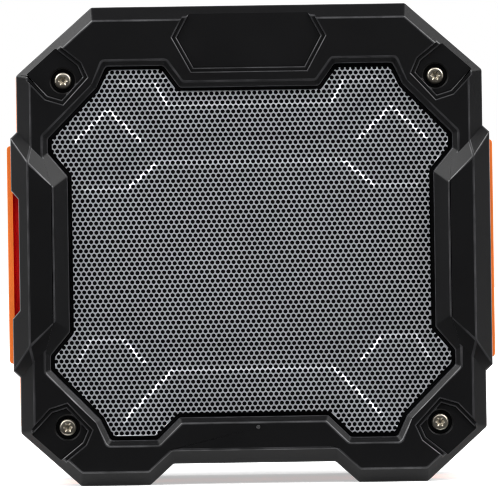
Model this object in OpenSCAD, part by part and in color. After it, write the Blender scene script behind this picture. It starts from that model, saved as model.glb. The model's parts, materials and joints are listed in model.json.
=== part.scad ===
// Rugged square speaker: black front and rear frames over an orange housing, a pressed
// steel grille, one driver, top buttons, a port door on the right and a side slot on the left.
// Front faces -Y, +Z is up, X is to the right seen from the front, and the feet stand on Z = 0.

/* [Body] */
// Width across the straight sides of the frames
body_w = 137; // [126:0.1:160]
// Height from the floor to the frames' top edge
body_h = 140.7; // [130:0.1:160]
// Depth over the front and rear side pads
body_d = 70; // [66:0.5:90]
// Depth of a frame from its face to its open edge
frame_d = 20; // [16:0.5:24]
// Thickness of a frame's face plate
plate_t = 5.3; // [4.6:0.1:7]
// Wall of a frame's skirt
skirt_wall = 3; // [2:0.1:4]
// Wall of the housing inside the skirts
housing_wall = 2.6; // [2:0.1:4]
// How far the housing's middle band stands out past the frames
band_proud = 0.7; // [0:0.1:1.8]
// Gap between parts that slot together
fit_gap = 0.2; // [0.1:0.05:0.4]

/* [Outline] */
// Width of the flat top edge
top_edge_w = 92.2; // [80:0.1:100]
// Height of the upper corner cuts
top_cut_h = 19.8; // [16:0.1:24]
// Height of the lower corner cuts
bottom_cut_h = 15.8; // [13:0.1:20]
// Width across the outer corners of the feet
feet_w = 101.9; // [96:0.1:110]
// Width of one foot's flat face
foot_w = 20.3; // [14:0.1:24]
// Height of the arch between the feet
arch_h = 6.2; // [5.2:0.1:8]
// Run of the arch's slopes
arch_slope = 6.8; // [4:0.1:9]
// Rounding of the outline's corners
outline_round = 1.2; // [0.4:0.1:2]
// Width of the outer bevel along the straight edges
bevel_flat = 4.1; // [2.5:0.1:4.5]
// Width of the outer bevel along the slanted edges
bevel_slant = 3.3; // [2:0.1:4]
// Depth of the outer bevel
bevel_d = 3.8; // [2:0.1:5]

/* [Opening] */
// Face left beside the opening
side_margin = 9.1; // [8:0.1:12]
// Face left above the opening
top_margin = 17.5; // [16:0.1:22]
// Face left below the opening
bottom_margin = 13.4; // [13:0.1:18]
// Width of the opening's slanted corners
corner_cut_w = 14.4; // [12:0.1:17]
// Height of the opening's slanted corners
corner_cut_h = 14.7; // [12:0.1:17]
// Width of the small cut above each slanted corner
crown_w = 2.9; // [1.5:0.1:4]
// Height of the small cut above each slanted corner
crown_h = 6.2; // [4:0.1:7.4]
// Height of the straight edge at the opening's widest place
flank_h = 4.3; // [3:0.1:6]
// How far the side pads narrow the opening
waist_in = 5.7; // [4:0.1:7]
// Height of the slope into the narrow waist
waist_slope_h = 6.8; // [5:0.1:8]
// Width of the boss that drops into the opening from the top
top_boss_w = 40.8; // [30:0.1:48]
// Run of the top boss's slopes
top_boss_slope = 4.7; // [3:0.1:6]
// Height of the top boss
top_boss_h = 6.5; // [4:0.1:8]
// Width of the boss that rises into the opening from the bottom
base_boss_w = 43.6; // [34:0.1:48]
// Run of the bottom boss's slopes
base_boss_slope = 6.6; // [4:0.1:8]
// Height of the bottom boss
base_boss_h = 6.5; // [4:0.1:8]
// Width and depth of the opening's bevel
opening_bevel = 1.7; // [1:0.1:2.4]
// How much further that bevel runs over the pads' sloped ends
waist_bevel_more = 1.3; // [0:0.1:2]
// Rounding of the opening's corners
opening_round = 1.4; // [0.6:0.1:1.8]

/* [Side pads] */
// How far the pads rise over the frame's face
pad_rise = 2.6; // [1.5:0.1:4]
// How far the pads stand out past the straight sides
pad_stand = 1.9; // [1:0.1:2.4]
// Width and depth of the pads' outer bevel
pad_bevel = 5; // [4:0.1:6]
// Height of a pad's outer face corners past the waist
pad_face_over = 4.1; // [2:0.1:5]
// Height of a pad's sloped end
pad_end_h = 5.6; // [5:0.1:9]
// Height of that end where it meets the frame's outer bevel
pad_step_h = 4.6; // [3:0.1:7]
// Height of a pad's tip past the waist
pad_tip_over = 11.3; // [9.5:0.1:13]

/* [Side slot and rails] */
// How far the rails stand out past the straight sides
rail_stand = 3.7; // [3.4:0.1:5]
// Height of a rail's end past the waist
rail_over = 9.5; // [7:0.1:11]
// Rounding of the rails' ends
rail_round = 2.4; // [1:0.1:3]
// Height of the side slot at its outer side
slot_h = 37.6; // [30:0.1:42]
// Width of the side slot
slot_w = 2.2; // [2:0.1:2.8]
// How deep the slot's floor lies inside the straight side
slot_floor_in = 0.3; // [0.1:0.1:0.8]
// How much each end of the slot closes in towards its floor
slot_taper = 2.5; // [1:0.1:4]
// Thickness of the web that closes the slot at its middle
slot_web = 16; // [4:0.5:18]

/* [Screws] */
// Distance of the corner screws from the straight sides
screw_in = 13.8; // [12.6:0.1:15]
// Distance of the upper screws below the top edge
screw_drop = 21.5; // [20:0.1:23]
// Height of the lower screws above the floor
screw_rise = 17.4; // [16:0.1:19]
// Diameter of the corner screws' shanks
screw_d = 2.9; // [2:0.1:3.4]
// Length of the corner screws' shanks
screw_l = 17; // [13:0.5:22]
// Diameter of the corner screws' heads
head_d = 5; // [4.4:0.1:5.8]
// Height of the corner screws' heads
head_h = 2; // [1.5:0.1:2.4]
// Diameter of the round recess for each head
head_recess_d = 7.1; // [6.4:0.1:8]
// Width and depth of the bevel round that recess
recess_bevel = 0.4; // [0.2:0.1:0.6]
// Plate left under each head
head_seat_t = 1.5; // [1:0.1:2]
// Depth of each of the two steps of a pocket
pocket_step = 0.8; // [0.4:0.1:1]
// Width of the ledge between the two steps
pocket_ledge = 1.2; // [0.8:0.1:1.6]
// Diameter of the housing's corner bosses
boss_d = 8.5; // [7:0.1:9.5]
// Thickness of the web that ties each boss to the side wall
boss_web_t = 2; // [1.2:0.1:3]

/* [Badge pocket] */
// Width of the bare badge pocket at its widest
badge_w = 45; // [36:0.1:52]
// Width of the badge pocket's lower edge
badge_base_w = 34; // [26:0.1:40]
// Distance of the widest place below the top edge
badge_wide_drop = 9.3; // [7:0.1:11]
// Distance of the lower edge below the top edge
badge_drop = 19.4; // [16:0.1:20]

/* [Grille] */
// Thickness of the steel sheet
sheet_t = 0.8; // [0.5:0.1:1]
// Width of the flange clamped behind the frame
flange_w = 2.1; // [1.8:0.1:2.4]
// Gap between the raised sheet and the frame
grille_gap = 0.8; // [0.6:0.1:1.6]
// How far the sheet rises off its flange
grille_rise = 1.4; // [1:0.1:1.8]
// Run of the sheet's outer wall
grille_wall_run = 0.4; // [0.3:0.1:1]
// Height of the pressed fields
emboss_h = 0.7; // [0.3:0.1:1]
// Run of the pressed fields' slopes
emboss_run = 1; // [0.6:0.1:1.4]
// Width of the grooves between the pressed fields
groove_w = 6.9; // [5:0.1:8]
// Distance from the opening's edge to the pressed fields
field_margin = 3.4; // [2.8:0.1:4.5]
// Thickness of the cloth behind the sheet
cloth_t = 0.5; // [0.3:0.1:0.8]

/* [Baffle and gaskets] */
// Thickness of the baffle
baffle_t = 4; // [3.5:0.1:6]
// Thickness of the front and rear gaskets
gasket_t = 1; // [0.6:0.1:1.6]
// Thickness of the rear cover's plate
cover_t = 2.5; // [2:0.1:3.5]
// How far the rear cover's field stands out past its rim
cover_rise = 1.6; // [0.8:0.1:2]
// Number of ribs across the rear cover
cover_ribs = 7; // [3:2:9]
// Height of those ribs
cover_rib_h = 0.8; // [0.4:0.1:1]
// Width of those ribs
cover_rib_w = 2.6; // [1.6:0.1:3.6]
// Distance between those ribs
cover_rib_pitch = 7; // [5:0.1:8]
// Length of those ribs
cover_rib_l = 62; // [40:0.5:66]

/* [Driver] */
// Radius of the basket's flange
flange_r = 40; // [38:0.5:42]
// Thickness of the basket's flange
flange_t = 1.5; // [1.2:0.1:2]
// Radius of the basket's throat
throat_r = 33; // [32.5:0.1:34]
// Depth from the flange's front to the back of the basket's floor
basket_h = 17.2; // [16:0.1:20]
// Radius of the basket's floor
floor_r = 24; // [23:0.1:26]
// Thickness of the basket's wall and floor
basket_t = 1.2; // [0.8:0.1:1.6]
// Radius of the screw circle on the flange
driver_screw_r = 37.6; // [37:0.1:38]
// Diameter of the driver screws' shanks
driver_screw_d = 2.2; // [1.8:0.1:2.4]
// Length of the driver screws' shanks
driver_screw_l = 5; // [4.6:0.1:5.4]
// Diameter of the driver screws' heads
driver_head_d = 4.2; // [3.6:0.1:4.6]
// Height of the driver screws' heads
driver_head_h = 1.5; // [1:0.1:2]
// Thickness of the driver gasket
driver_gasket_t = 0.8; // [0.5:0.1:1.2]
// Outer radius of the cone
cone_r = 28.4; // [27.5:0.1:28.8]
// Depth of the cone
cone_h = 9; // [8:0.1:9.6]
// Thickness of the paper cone
cone_t = 0.6; // [0.4:0.1:0.8]
// Radius of the dust cap
cap_r = 13; // [12:0.1:15]
// Height of the dust cap's dome
cap_h = 3; // [2:0.1:4]
// Radius of the surround's roll
roll_r = 2.2; // [2:0.1:2.3]
// Thickness of the surround
surround_t = 0.6; // [0.4:0.1:0.7]
// Radius of the voice coil's former, outside
former_r = 10.4; // [9.5:0.1:10.6]
// Thickness of the former
former_t = 0.3; // [0.2:0.05:0.4]
// Thickness of the winding on the former
winding_t = 0.5; // [0.3:0.1:0.6]
// Length of the winding
winding_l = 5; // [4:0.1:6]
// Radial gap on each side of the voice coil
coil_gap = 0.5; // [0.4:0.05:0.6]
// Thickness of the pole plates
pole_plate_t = 4; // [3:0.1:5]
// Radius of the pole plates
pole_plate_r = 20; // [18:0.1:22]
// Thickness of the magnet
magnet_t = 10; // [8:0.5:11]
// Outer radius of the magnet
magnet_r = 22; // [20:0.1:23]
// Radius of the vent through the pole
vent_r = 3; // [2:0.1:4]
// Thickness of the spider
spider_t = 0.5; // [0.3:0.1:0.6]
// Height of the spider's waves
spider_wave = 0.6; // [0.3:0.1:0.7]
// Width of the spider's outer lip
spider_lip = 3.5; // [2.5:0.1:4]
// Height of the shelf under that lip
shelf_h = 3; // [2.5:0.1:3.5]
// Width of the driver's terminal strip
terminal_w = 12; // [10:0.5:16]
// Thickness of the terminal strip
terminal_t = 1; // [0.8:0.1:1.6]

/* [Buttons] */
// Diameter of a button's cap
button_d = 11; // [9:0.1:12]
// Distance between buttons
button_pitch = 15; // [14:0.1:16]
// Height of a button's cap
button_cap_h = 1; // [0.8:0.1:1.2]
// Travel of a button
button_travel = 1; // [0.6:0.1:1.2]
// Gap round a button
button_gap = 0.3; // [0.2:0.05:0.5]
// Diameter of a button's stem
stem_d = 5; // [4:0.1:6]
// Diameter of the collar that keeps a button in
collar_d = 8; // [7:0.1:9]
// Height of that collar
collar_h = 1.1; // [0.8:0.1:1.4]
// Length of the stem past its collar
stem_tip = 0.7; // [0.4:0.1:1.2]
// How far the button tops lie under the band's top
button_sink = 0.1; // [0:0.05:0.3]
// Width of the control panel
panel_w = 80; // [76:0.5:84]
// Depth of the control panel
panel_d = 18; // [16:0.1:20]
// Depth of the control panel's recess
panel_recess = 2.4; // [2.2:0.1:2.8]
// How far the panel's face lies under the band's top
panel_sink = 0.3; // [0.2:0.1:0.6]
// Height of a tact switch's case
switch_h = 3.5; // [2.5:0.1:4.5]
// Width of a tact switch's case
switch_w = 6; // [5:0.1:7]
// Height of a tact switch's plunger
plunger_h = 1; // [0.6:0.1:1.4]
// Diameter of a tact switch's plunger
plunger_d = 3.2; // [2.6:0.1:4]
// Gap between a switch and the stem above it when pressed home
switch_gap = 0.1; // [0.05:0.05:0.3]

/* [Boards] */
// Thickness of the circuit boards
board_t = 1.6; // [1:0.1:2]
// Width of the button board
button_board_w = 82; // [80:0.5:88]
// Depth of the button board
button_board_d = 16; // [12:0.5:20]
// Depth of the main board
main_board_d = 28; // [24:0.5:32]
// Height of the main board
main_board_h = 50; // [46:0.5:60]
// Gap between the main board and the housing's side wall
main_board_gap = 5.5; // [4:0.1:6]
// Diameter of the board posts
post_d = 5; // [4:0.1:6]
// Distance of the posts from the board's edges
post_in = 4; // [3.5:0.1:5]
// Diameter of the board screws' shanks
board_screw_d = 2; // [1.6:0.1:2.4]
// Length of the board screws' shanks
board_screw_l = 5; // [4:0.1:6]
// Diameter of the board screws' heads
board_head_d = 3.8; // [3.2:0.1:4.6]
// Height of the board screws' heads
board_head_h = 1.3; // [1:0.1:1.8]

/* [Ports] */
// Width of the port door
door_w = 17; // [15:0.1:19]
// Height of the port door above its hinge
door_h = 36; // [34:0.1:38]
// Thickness of the port door
door_t = 1.8; // [1.4:0.1:2.2]
// Gap round the port door
door_gap = 0.3; // [0.2:0.05:0.4]
// Distance of the door's hinge below the opening's middle
hinge_drop = 20; // [18:0.1:21]
// Radius of the hinge barrel
barrel_r = 1.2; // [1.1:0.05:1.4]
// Radius of the hinge pin
pin_r = 0.6; // [0.5:0.05:0.7]
// Running gap between the pin and the door
pin_gap = 0.05; // [0.02:0.01:0.1]
// Length of the pin held in the housing at each end
pin_hold = 2.4; // [1.5:0.1:3]
// Height of the finger notch above the door
notch_h = 4; // [3:0.1:5]
// Wall left between the port bay and the door's pocket
port_wall = 3.3; // [2.4:0.1:3.6]
// Distance of the aux socket below the opening's middle
aux_drop = 8; // [7:0.1:9]
// Outside radius of the aux socket
aux_r = 3; // [2.6:0.1:3.4]
// Radius of the aux socket's bore
aux_bore_r = 1.8; // [1.75:0.05:2]
// Depth of the aux socket's bore
aux_bore_l = 12; // [11:0.1:12.2]
// Distance of the charging socket above the opening's middle
charge_rise = 6; // [5:0.1:8]
// Height of the charging socket
charge_h = 9; // [8.6:0.1:9.6]
// Width of the charging socket
charge_w = 3.4; // [3:0.1:4]
// Wall of the charging socket's shell
charge_wall = 0.35; // [0.25:0.05:0.5]
// Depth of the charging socket's mouth
charge_l = 6.5; // [5:0.1:8]
// Thickness of the charging socket's tongue
tongue_t = 0.7; // [0.5:0.05:0.9]

/* [Battery] */
// Diameter of a battery cell
cell_d = 18.4; // [16:0.1:18.6]
// Length of a battery cell
cell_l = 65; // [60:0.1:70]
// Thickness of the battery tray
tray_t = 1.4; // [1:0.1:2]
// Height of the tray's walls
tray_wall_h = 10; // [6:0.1:12]
// Gap round each cell
cell_gap = 0.15; // [0.05:0.05:0.3]

/* [Status light] */
// Diameter of the light pipe
pipe_d = 1.2; // [0.8:0.1:1.6]
// Distance of the light to the right of the middle
pipe_x = 1.2; // [0:0.1:4]
// Distance of the light below the bottom boss's edge
pipe_drop = 3.1; // [2.9:0.1:4]
// Width of the light board
light_board_w = 10; // [8:0.1:12]
// Height of the light board
light_board_h = 6; // [5:0.1:6.6]
// Thickness of the light board
light_board_t = 1; // [0.8:0.1:1.2]
// How far the light board's middle lies above the light
light_board_rise = 1; // [0.5:0.1:1.5]

/* [Hidden] */

BLACK = [0.08, 0.08, 0.085];
ORANGE = [0.9, 0.42, 0.12];
STEEL = [0.75, 0.76, 0.78];
GRILLE_GREY = [0.5, 0.52, 0.54];
RUBBER = [0.05, 0.05, 0.05];
BOARD_GREEN = [0.08, 0.3, 0.16];

// Overshoot of cuts past the faces they open
cut = 0.5;
// Segments on a rounded corner
round_steps = 3;
// Curve resolution of turned parts
$fn = 64;

// Depth positions, front to back
front_y = -body_d / 2;
face_y = front_y + pad_rise;
seat_y = face_y + plate_t;
frame_back_y = face_y + frame_d;
baffle_back_y = seat_y + baffle_t;
rim_y = baffle_back_y + gasket_t;
cloth_y = seat_y - cloth_t;
grille_y = cloth_y - sheet_t;
field_y = grille_y - grille_rise;
cover_seat_y = -seat_y;
cover_front_y = cover_seat_y - cover_t;
rear_rim_y = cover_front_y - gasket_t;
driver_y = baffle_back_y + driver_gasket_t;

// Widths and heights that several parts share
side_x = body_w / 2;
band_top_z = body_h + band_proud;
shell_in = skirt_wall + fit_gap + housing_wall;
cavity_x = side_x - shell_in;
cavity_top_z = body_h - shell_in;
cavity_floor_z = arch_h + shell_in;
rail_x = side_x + rail_stand;
pad_x = side_x + pad_stand;

// The opening's middle, half sizes and waist
mid_z = (bottom_margin + body_h - top_margin) / 2;
open_x = side_x - side_margin;
open_z = (body_h - top_margin - bottom_margin) / 2;
flank_z = open_z - crown_h - corner_cut_h;
waist_z = flank_z - flank_h - waist_slope_h;
waist_x = open_x - waist_in;

// Corner screws
screw_x = side_x - screw_in;
screw_places = [
    [screw_x, body_h - screw_drop, 1], [-screw_x, body_h - screw_drop, 1],
    [screw_x, screw_rise, -1], [-screw_x, screw_rise, -1]
];
head_seat_y = seat_y - head_seat_t;
pocket_floor_y = face_y + 2 * pocket_step;
thread_gap = 0.05;
screw_gap = 0.25;
pilot_end = 1;

// Outlines, listed clockwise seen from the front
function mirrored(right) = concat(right, [for (i = [len(right) - 1:-1:0]) [-right[i].x, right[i].y]]);
function unit(v) = v / norm(v);
function inward(a, b) = let (d = unit(b - a)) [d.y, -d.x];
function inset_corner(p, n1, d1, n2, d2) =
    let (c = n1 * n2) p + ((d1 - d2 * c) * n1 + (d2 - d1 * c) * n2) / (1 - c * c);
function inset_by(line, widths) =
    let (n = len(line))
    [for (i = [0:n - 1])
        let (a = line[(i + n - 1) % n], p = line[i], b = line[(i + 1) % n])
        inset_corner(p, inward(a, p), widths[(i + n - 1) % n], inward(p, b), widths[i])];
function inset(line, width) = inset_by(line, [for (p = line) width]);
function edges(line) = [for (i = [0:len(line) - 1]) [line[i], line[(i + 1) % len(line)]]];
function is_straight(e) = abs(e[0].x - e[1].x) < 0.001 || abs(e[0].y - e[1].y) < 0.001;
function rounded_corner(a, p, b, r) =
    let (da = unit(a - p), db = unit(b - p), t = r / tan(acos(da * db) / 2))
    [for (k = [0:round_steps]) let (u = k / round_steps)
        (1 - u) * (1 - u) * (p + da * t) + 2 * u * (1 - u) * p + u * u * (p + db * t)];
function rounded(line, r) =
    let (n = len(line))
    [for (i = [0:n - 1]) each rounded_corner(line[(i + n - 1) % n], line[i], line[(i + 1) % n], r)];

// Triangles of a flat outline, cut off one corner at a time
function turn(a, b, c) = (b.x - a.x) * (c.y - a.y) - (b.y - a.y) * (c.x - a.x);
function holds(a, b, c, p) = turn(a, b, p) <= 0 && turn(b, c, p) <= 0 && turn(c, a, p) <= 0;
function is_ear(line, idx, k) =
    let (n = len(idx), i = idx[(k + n - 1) % n], j = idx[k], m = idx[(k + 1) % n])
    turn(line[i], line[j], line[m]) < -0.000001 && len([for (q = idx)
        if (q != i && q != j && q != m && holds(line[i], line[j], line[m], line[q])) q]) == 0;
function first_ear(line, idx, k = 0) =
    k >= len(idx) - 1 || is_ear(line, idx, k) ? k : first_ear(line, idx, k + 1);
function cap_triangles(line, idx) =
    let (n = len(idx), k = first_ear(line, idx))
    n < 4 ? [idx] : concat([[idx[(k + n - 1) % n], idx[k], idx[(k + 1) % n]]],
        cap_triangles(line, [for (q = [0:n - 1]) if (q != k) idx[q]]));

// Solid through outlines of equal length, each [y, outline], from front to back
module loft(levels) {
    n = len(levels[0][1]);
    last = (len(levels) - 1) * n;
    points = [for (level = levels) for (p = level[1]) [p.x, level[0], p.y]];
    front = cap_triangles(levels[0][1], [for (i = [0:n - 1]) i]);
    back = cap_triangles(levels[len(levels) - 1][1], [for (i = [0:n - 1]) i]);
    walls = [for (k = [0:len(levels) - 2]) for (i = [0:n - 1])
        let (a = k * n + i, b = k * n + (i + 1) % n) each [[a, a + n, b + n], [a, b + n, b]]];
    polyhedron(points, concat(front, [for (f = back) [last + f[2], last + f[1], last + f[0]]], walls));
}

// Straight solid of an outline between two depths
module slab(line, y0, y1) {
    translate([0, y1, 0]) rotate([90, 0, 0]) linear_extrude(y1 - y0) polygon(line);
}

// Round bar along Y
module bar_y(x, z, r, y0, y1) {
    translate([x, y0, z]) rotate([-90, 0, 0]) cylinder(h = y1 - y0, r = r);
}

// Round bar along X
module bar_x(y, z, r, x0, x1) {
    translate([x0, y, z]) rotate([0, 90, 0]) cylinder(h = x1 - x0, r = r);
}

// Block between two corners
module block(low, high) {
    translate(low) cube(high - low);
}

// Solid turned about the driver's axis, from [radius, distance behind the flange] points
module turned(profile) {
    translate([0, driver_y, mid_z]) rotate([-90, 0, 0]) rotate_extrude($fn = 96) polygon(profile);
}

// Flat ring turned about the driver's axis
module ring(r0, r1, t0, t1) {
    turned([[r0, t0], [r1, t0], [r1, t1], [r0, t1]]);
}

// Outline of the frames
outline = mirrored([
    [top_edge_w / 2, body_h], [side_x, body_h - top_cut_h], [side_x, bottom_cut_h],
    [feet_w / 2, 0], [feet_w / 2 - foot_w, 0], [feet_w / 2 - foot_w - arch_slope, arch_h]
]);
face_outline = inset_by(outline, [for (e = edges(outline)) is_straight(e) ? bevel_flat : bevel_slant]);
skirt_outline = inset(outline, skirt_wall);
neck_outline = inset(outline, skirt_wall + fit_gap);
cavity_outline = inset(outline, shell_in);
// The band stands out at the top and sides, and stays off the floor
floor_gap = 0.6;
band_outline = inset_by(outline, [for (e = edges(outline))
    max(e[0].y, e[1].y) <= bottom_cut_h ? floor_gap : -band_proud]);

// Outline of the frames' opening
function opening_side(boss_w, boss_slope, boss_h, up) = [for (p = [
    [boss_w / 2, open_z - boss_h], [boss_w / 2 + boss_slope, open_z],
    [open_x - corner_cut_w - crown_w, open_z], [open_x - corner_cut_w, open_z - crown_h],
    [open_x, flank_z], [open_x, flank_z - flank_h], [waist_x, waist_z]
]) [p.x, mid_z + up * p.y]];
function backwards(line) = [for (i = [len(line) - 1:-1:0]) line[i]];
opening = mirrored(concat(
    opening_side(top_boss_w, top_boss_slope, top_boss_h, 1),
    backwards(opening_side(base_boss_w, base_boss_slope, base_boss_h, -1))
));
flange_outline = inset(opening, -flange_w);
function is_waist_slope(e) = abs(abs(e[0].x - e[1].x) - waist_in) < 0.001;
bevel_run = opening_bevel + pad_rise + cut;
bevel_outline = inset_by(opening, [for (e = edges(opening))
    -bevel_run - (is_waist_slope(e) ? waist_bevel_more : 0)]);

// Side slot, from its floor outwards past the rail
slot_floor_x = side_x - slot_floor_in;
bar_in_x = slot_floor_x + slot_w;
function slot_outline(x1) =
    let (grow = slot_taper * (x1 - slot_floor_x) / (pad_x - slot_floor_x), low = slot_h / 2 - slot_taper)
    [[-x1, mid_z + low + grow], [-slot_floor_x, mid_z + low],
     [-slot_floor_x, mid_z - low], [-x1, mid_z - low - grow]];

// A side pad, right for side 1 and left for side -1
pad_face_x = pad_x - pad_bevel;
pad_in_x = waist_x - cut;
pad_face_z = waist_z + pad_face_over;
pad_in_z = pad_face_z - (pad_face_x - pad_in_x);
pad_tip_z = waist_z + pad_tip_over;
module side_pad(side) {
    corners = [
        [pad_face_x, front_y, pad_face_z], [pad_in_x, front_y, pad_in_z],
        [side_x - bevel_flat, face_y, pad_face_z + pad_step_h],
        [pad_in_x, face_y, pad_in_z + pad_end_h], [pad_in_x, seat_y, pad_in_z + pad_end_h],
        [pad_x, front_y + pad_bevel, pad_tip_z], [pad_x, frame_back_y, pad_tip_z],
        [side_x, face_y + bevel_d, pad_tip_z + pad_stand], [side_x, frame_back_y, pad_tip_z + pad_stand]
    ];
    points = [for (up = [1, -1]) for (p = corners) [side * p.x, p.y, mid_z + up * p.z]];
    hull() polyhedron(points, [for (i = [0:len(points) - 3]) [0, i + 1, i + 2]]);
}

// Screw pocket round a corner screw, open towards the cut corner
pocket_corners = [[8.7, 16.3], [17.6, 7.8], [5.2, -5.4], [0, -7], [-7.2, 0.8], [-5.3, 5.1]];
function pocket_outline(place) =
    let (side = sign(place.x), up = place.z,
        line = [for (p = pocket_corners) [place.x + side * p.x, place.y + up * p.y]])
    side * up > 0 ? line : backwards(line);

module stepped_pocket(line) {
    slab(line, face_y - cut, face_y + pocket_step);
    slab(inset(line, pocket_ledge), face_y - cut, pocket_floor_y);
}

// A frame, as seen at the front
module frame_body() {
    difference() {
        union() {
            loft([
                [face_y, rounded(face_outline, outline_round)],
                [face_y + bevel_d, rounded(outline, outline_round)],
                [frame_back_y, rounded(outline, outline_round)]
            ]);
            for (side = [1, -1]) side_pad(side);
        }
        slab(skirt_outline, seat_y, frame_back_y + cut);
        slab(inset(flange_outline, -fit_gap), grille_y, seat_y + cut);
        loft([
            [front_y - cut, rounded(bevel_outline, opening_round)],
            [face_y + opening_bevel, rounded(opening, opening_round)],
            [seat_y + cut, rounded(opening, opening_round)]
        ]);
        for (place = screw_places) {
            stepped_pocket(pocket_outline(place));
            bar_y(place.x, place.y, head_recess_d / 2, face_y - cut, head_seat_y);
            translate([place.x, pocket_floor_y - cut, place.y]) rotate([-90, 0, 0])
                cylinder(h = recess_bevel + cut, r1 = head_recess_d / 2 + recess_bevel + cut,
                    r2 = head_recess_d / 2);
            bar_y(place.x, place.y, screw_d / 2 + screw_gap, face_y, seat_y + cut);
        }
        slab(slot_outline(rail_x), front_y - cut, frame_back_y + cut);
    }
}

// Bare badge pocket, open at the top edge
badge_rise = 3;
badge_slope = (badge_w - badge_base_w) / 2 / (badge_drop - badge_wide_drop);
badge_outline = mirrored([
    [badge_w / 2 - (badge_wide_drop + badge_rise) * badge_slope, body_h + badge_rise],
    [badge_w / 2, body_h - badge_wide_drop], [badge_base_w / 2, body_h - badge_drop]
]);

// Status light, below the bottom boss's edge
pipe_z = mid_z - open_z + base_boss_h - pipe_drop;
pipe_gap = 0.05;

module front_frame() {
    color(BLACK) difference() {
        frame_body();
        stepped_pocket(badge_outline);
        bar_y(pipe_x, pipe_z, pipe_d / 2 + pipe_gap, face_y - cut, seat_y + cut);
    }
}

module rear_frame() {
    color(BLACK) mirror([0, 1, 0]) frame_body();
}

// Pressed fields of the grille, as corners measured from the opening's middle
corner_in = field_margin + emboss_run;
panel_z = waist_z + groove_w * 0.6;
band_low_z = panel_z + groove_w;
band_high_z = open_z - top_boss_h - corner_in;
band_ear_z = open_z - corner_in;
panel_end_x = waist_x - corner_in;
panel_end_z = waist_z - groove_w / 2;
panel_step = panel_z - panel_end_z;
ear_x = open_x - corner_cut_w - crown_w - field_margin;
ear_in_x = top_boss_w / 2 + field_margin;
ear_rise = band_ear_z - field_margin * 0.75 - band_low_z;
function from_middle(points) = [for (p = points) [p.x, mid_z + p.y]];
function four_ways(points) = concat(
    [for (sx = [1, -1]) for (sz = [1, -1])
        let (line = [for (p = points) [sx * p.x, sz * p.y]])
        from_middle(sx * sz > 0 ? line : backwards(line))]);
middle_step_x = panel_end_x - 2 * groove_w + emboss_run;
middle_top_x = middle_step_x - panel_step * 1.2;
function fields() = concat(
    [from_middle(mirrored([[panel_end_x, panel_end_z], [panel_end_x, -panel_end_z]]))],
    [from_middle(mirrored([
        [middle_top_x, panel_z], [middle_step_x, panel_end_z],
        [middle_step_x, -panel_end_z], [middle_top_x, -panel_z]]))],
    [for (up = [1, -1])
        let (line = mirrored([
            [ear_in_x + band_high_z - band_low_z, band_high_z], [ear_in_x, band_low_z]]))
        from_middle(up > 0 ? line : backwards([for (p = line) [p.x, -p.y]]))],
    four_ways([
        [ear_in_x, band_high_z], [ear_in_x + groove_w / 2, band_ear_z], [ear_x, band_ear_z],
        [ear_in_x + ear_rise, band_low_z + ear_rise], [ear_in_x, band_low_z]]),
    four_ways([
        [open_x - corner_cut_w - field_margin, flank_z + corner_cut_h - 2 * field_margin + emboss_run],
        [open_x - 2 * field_margin, flank_z - field_margin * 0.7 + emboss_run],
        [open_x - 2 * field_margin - corner_in, waist_z + emboss_run * 2],
        [open_x - 3 * field_margin - groove_w - corner_in, waist_z + emboss_run * 2],
        [open_x - 3 * field_margin - 2 * groove_w - corner_in, waist_z + groove_w * 1.1 + emboss_run * 2]])
);
bury = 0.3;

// The raised part of the sheet, moved back by one thickness for its hollow side
module pressed_sheet(back, in) {
    loft([
        [field_y + back, rounded(inset(opening, grille_gap + grille_wall_run + in), opening_round)],
        [grille_y + back + bury, rounded(inset(opening, grille_gap + in), opening_round)]
    ]);
    for (field = fields())
        loft([
            [field_y - emboss_h + back, inset(field, emboss_run)],
            [field_y + back, field],
            [field_y + back + bury, field]
        ]);
}

module grille() {
    color(GRILLE_GREY) difference() {
        union() {
            slab(flange_outline, grille_y, cloth_y);
            pressed_sheet(0, 0);
        }
        pressed_sheet(sheet_t, sheet_t);
        slab(inset(opening, grille_gap + sheet_t), grille_y, cloth_y + cut);
    }
}

module grille_cloth() {
    color(RUBBER) slab(flange_outline, cloth_y, seat_y);
}

// Pan head screw pointing along +Y from its head's underside
module screw(shank_d, shank_l, top_d, top_h) {
    dome = top_h * 0.4;
    socket_r = top_d * 0.26;
    difference() {
        rotate([-90, 0, 0]) rotate_extrude($fn = 32) polygon([
            [0, -top_h], [top_d / 2 - dome, -top_h], [top_d / 2, -top_h + dome], [top_d / 2, 0],
            [shank_d / 2, 0], [shank_d / 2, shank_l], [0, shank_l]
        ]);
        rotate([90, 0, 0]) translate([0, 0, top_h * 0.4]) cylinder(h = top_h, r = socket_r, $fn = 6);
    }
}

module corner_screws() {
    for (place = screw_places)
        translate([place.x, head_seat_y, place.y]) screw(screw_d, screw_l, head_d, head_h);
}

module front_screws() {
    color(STEEL) corner_screws();
}

module rear_screws() {
    color(STEEL) mirror([0, 1, 0]) corner_screws();
}

// Places of the driver's screws
driver_screw_places = [for (a = [45:90:315]) [driver_screw_r * cos(a), driver_screw_r * sin(a)]];
driver_hole_end = 0.5;

module baffle() {
    color(BLACK) difference() {
        slab(neck_outline, seat_y, baffle_back_y);
        bar_y(0, mid_z, throat_r, seat_y - cut, baffle_back_y + cut);
        for (place = screw_places)
            bar_y(place.x, place.y, screw_d / 2 + screw_gap, seat_y - cut, baffle_back_y + cut);
        for (p = driver_screw_places)
            bar_y(p.x, mid_z + p.y, driver_screw_d / 2 + thread_gap,
                driver_y + flange_t - driver_screw_l - driver_hole_end, baffle_back_y + cut);
        bar_y(pipe_x, pipe_z, pipe_d / 2 + pipe_gap, seat_y - cut, baffle_back_y + cut);
    }
}

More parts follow.
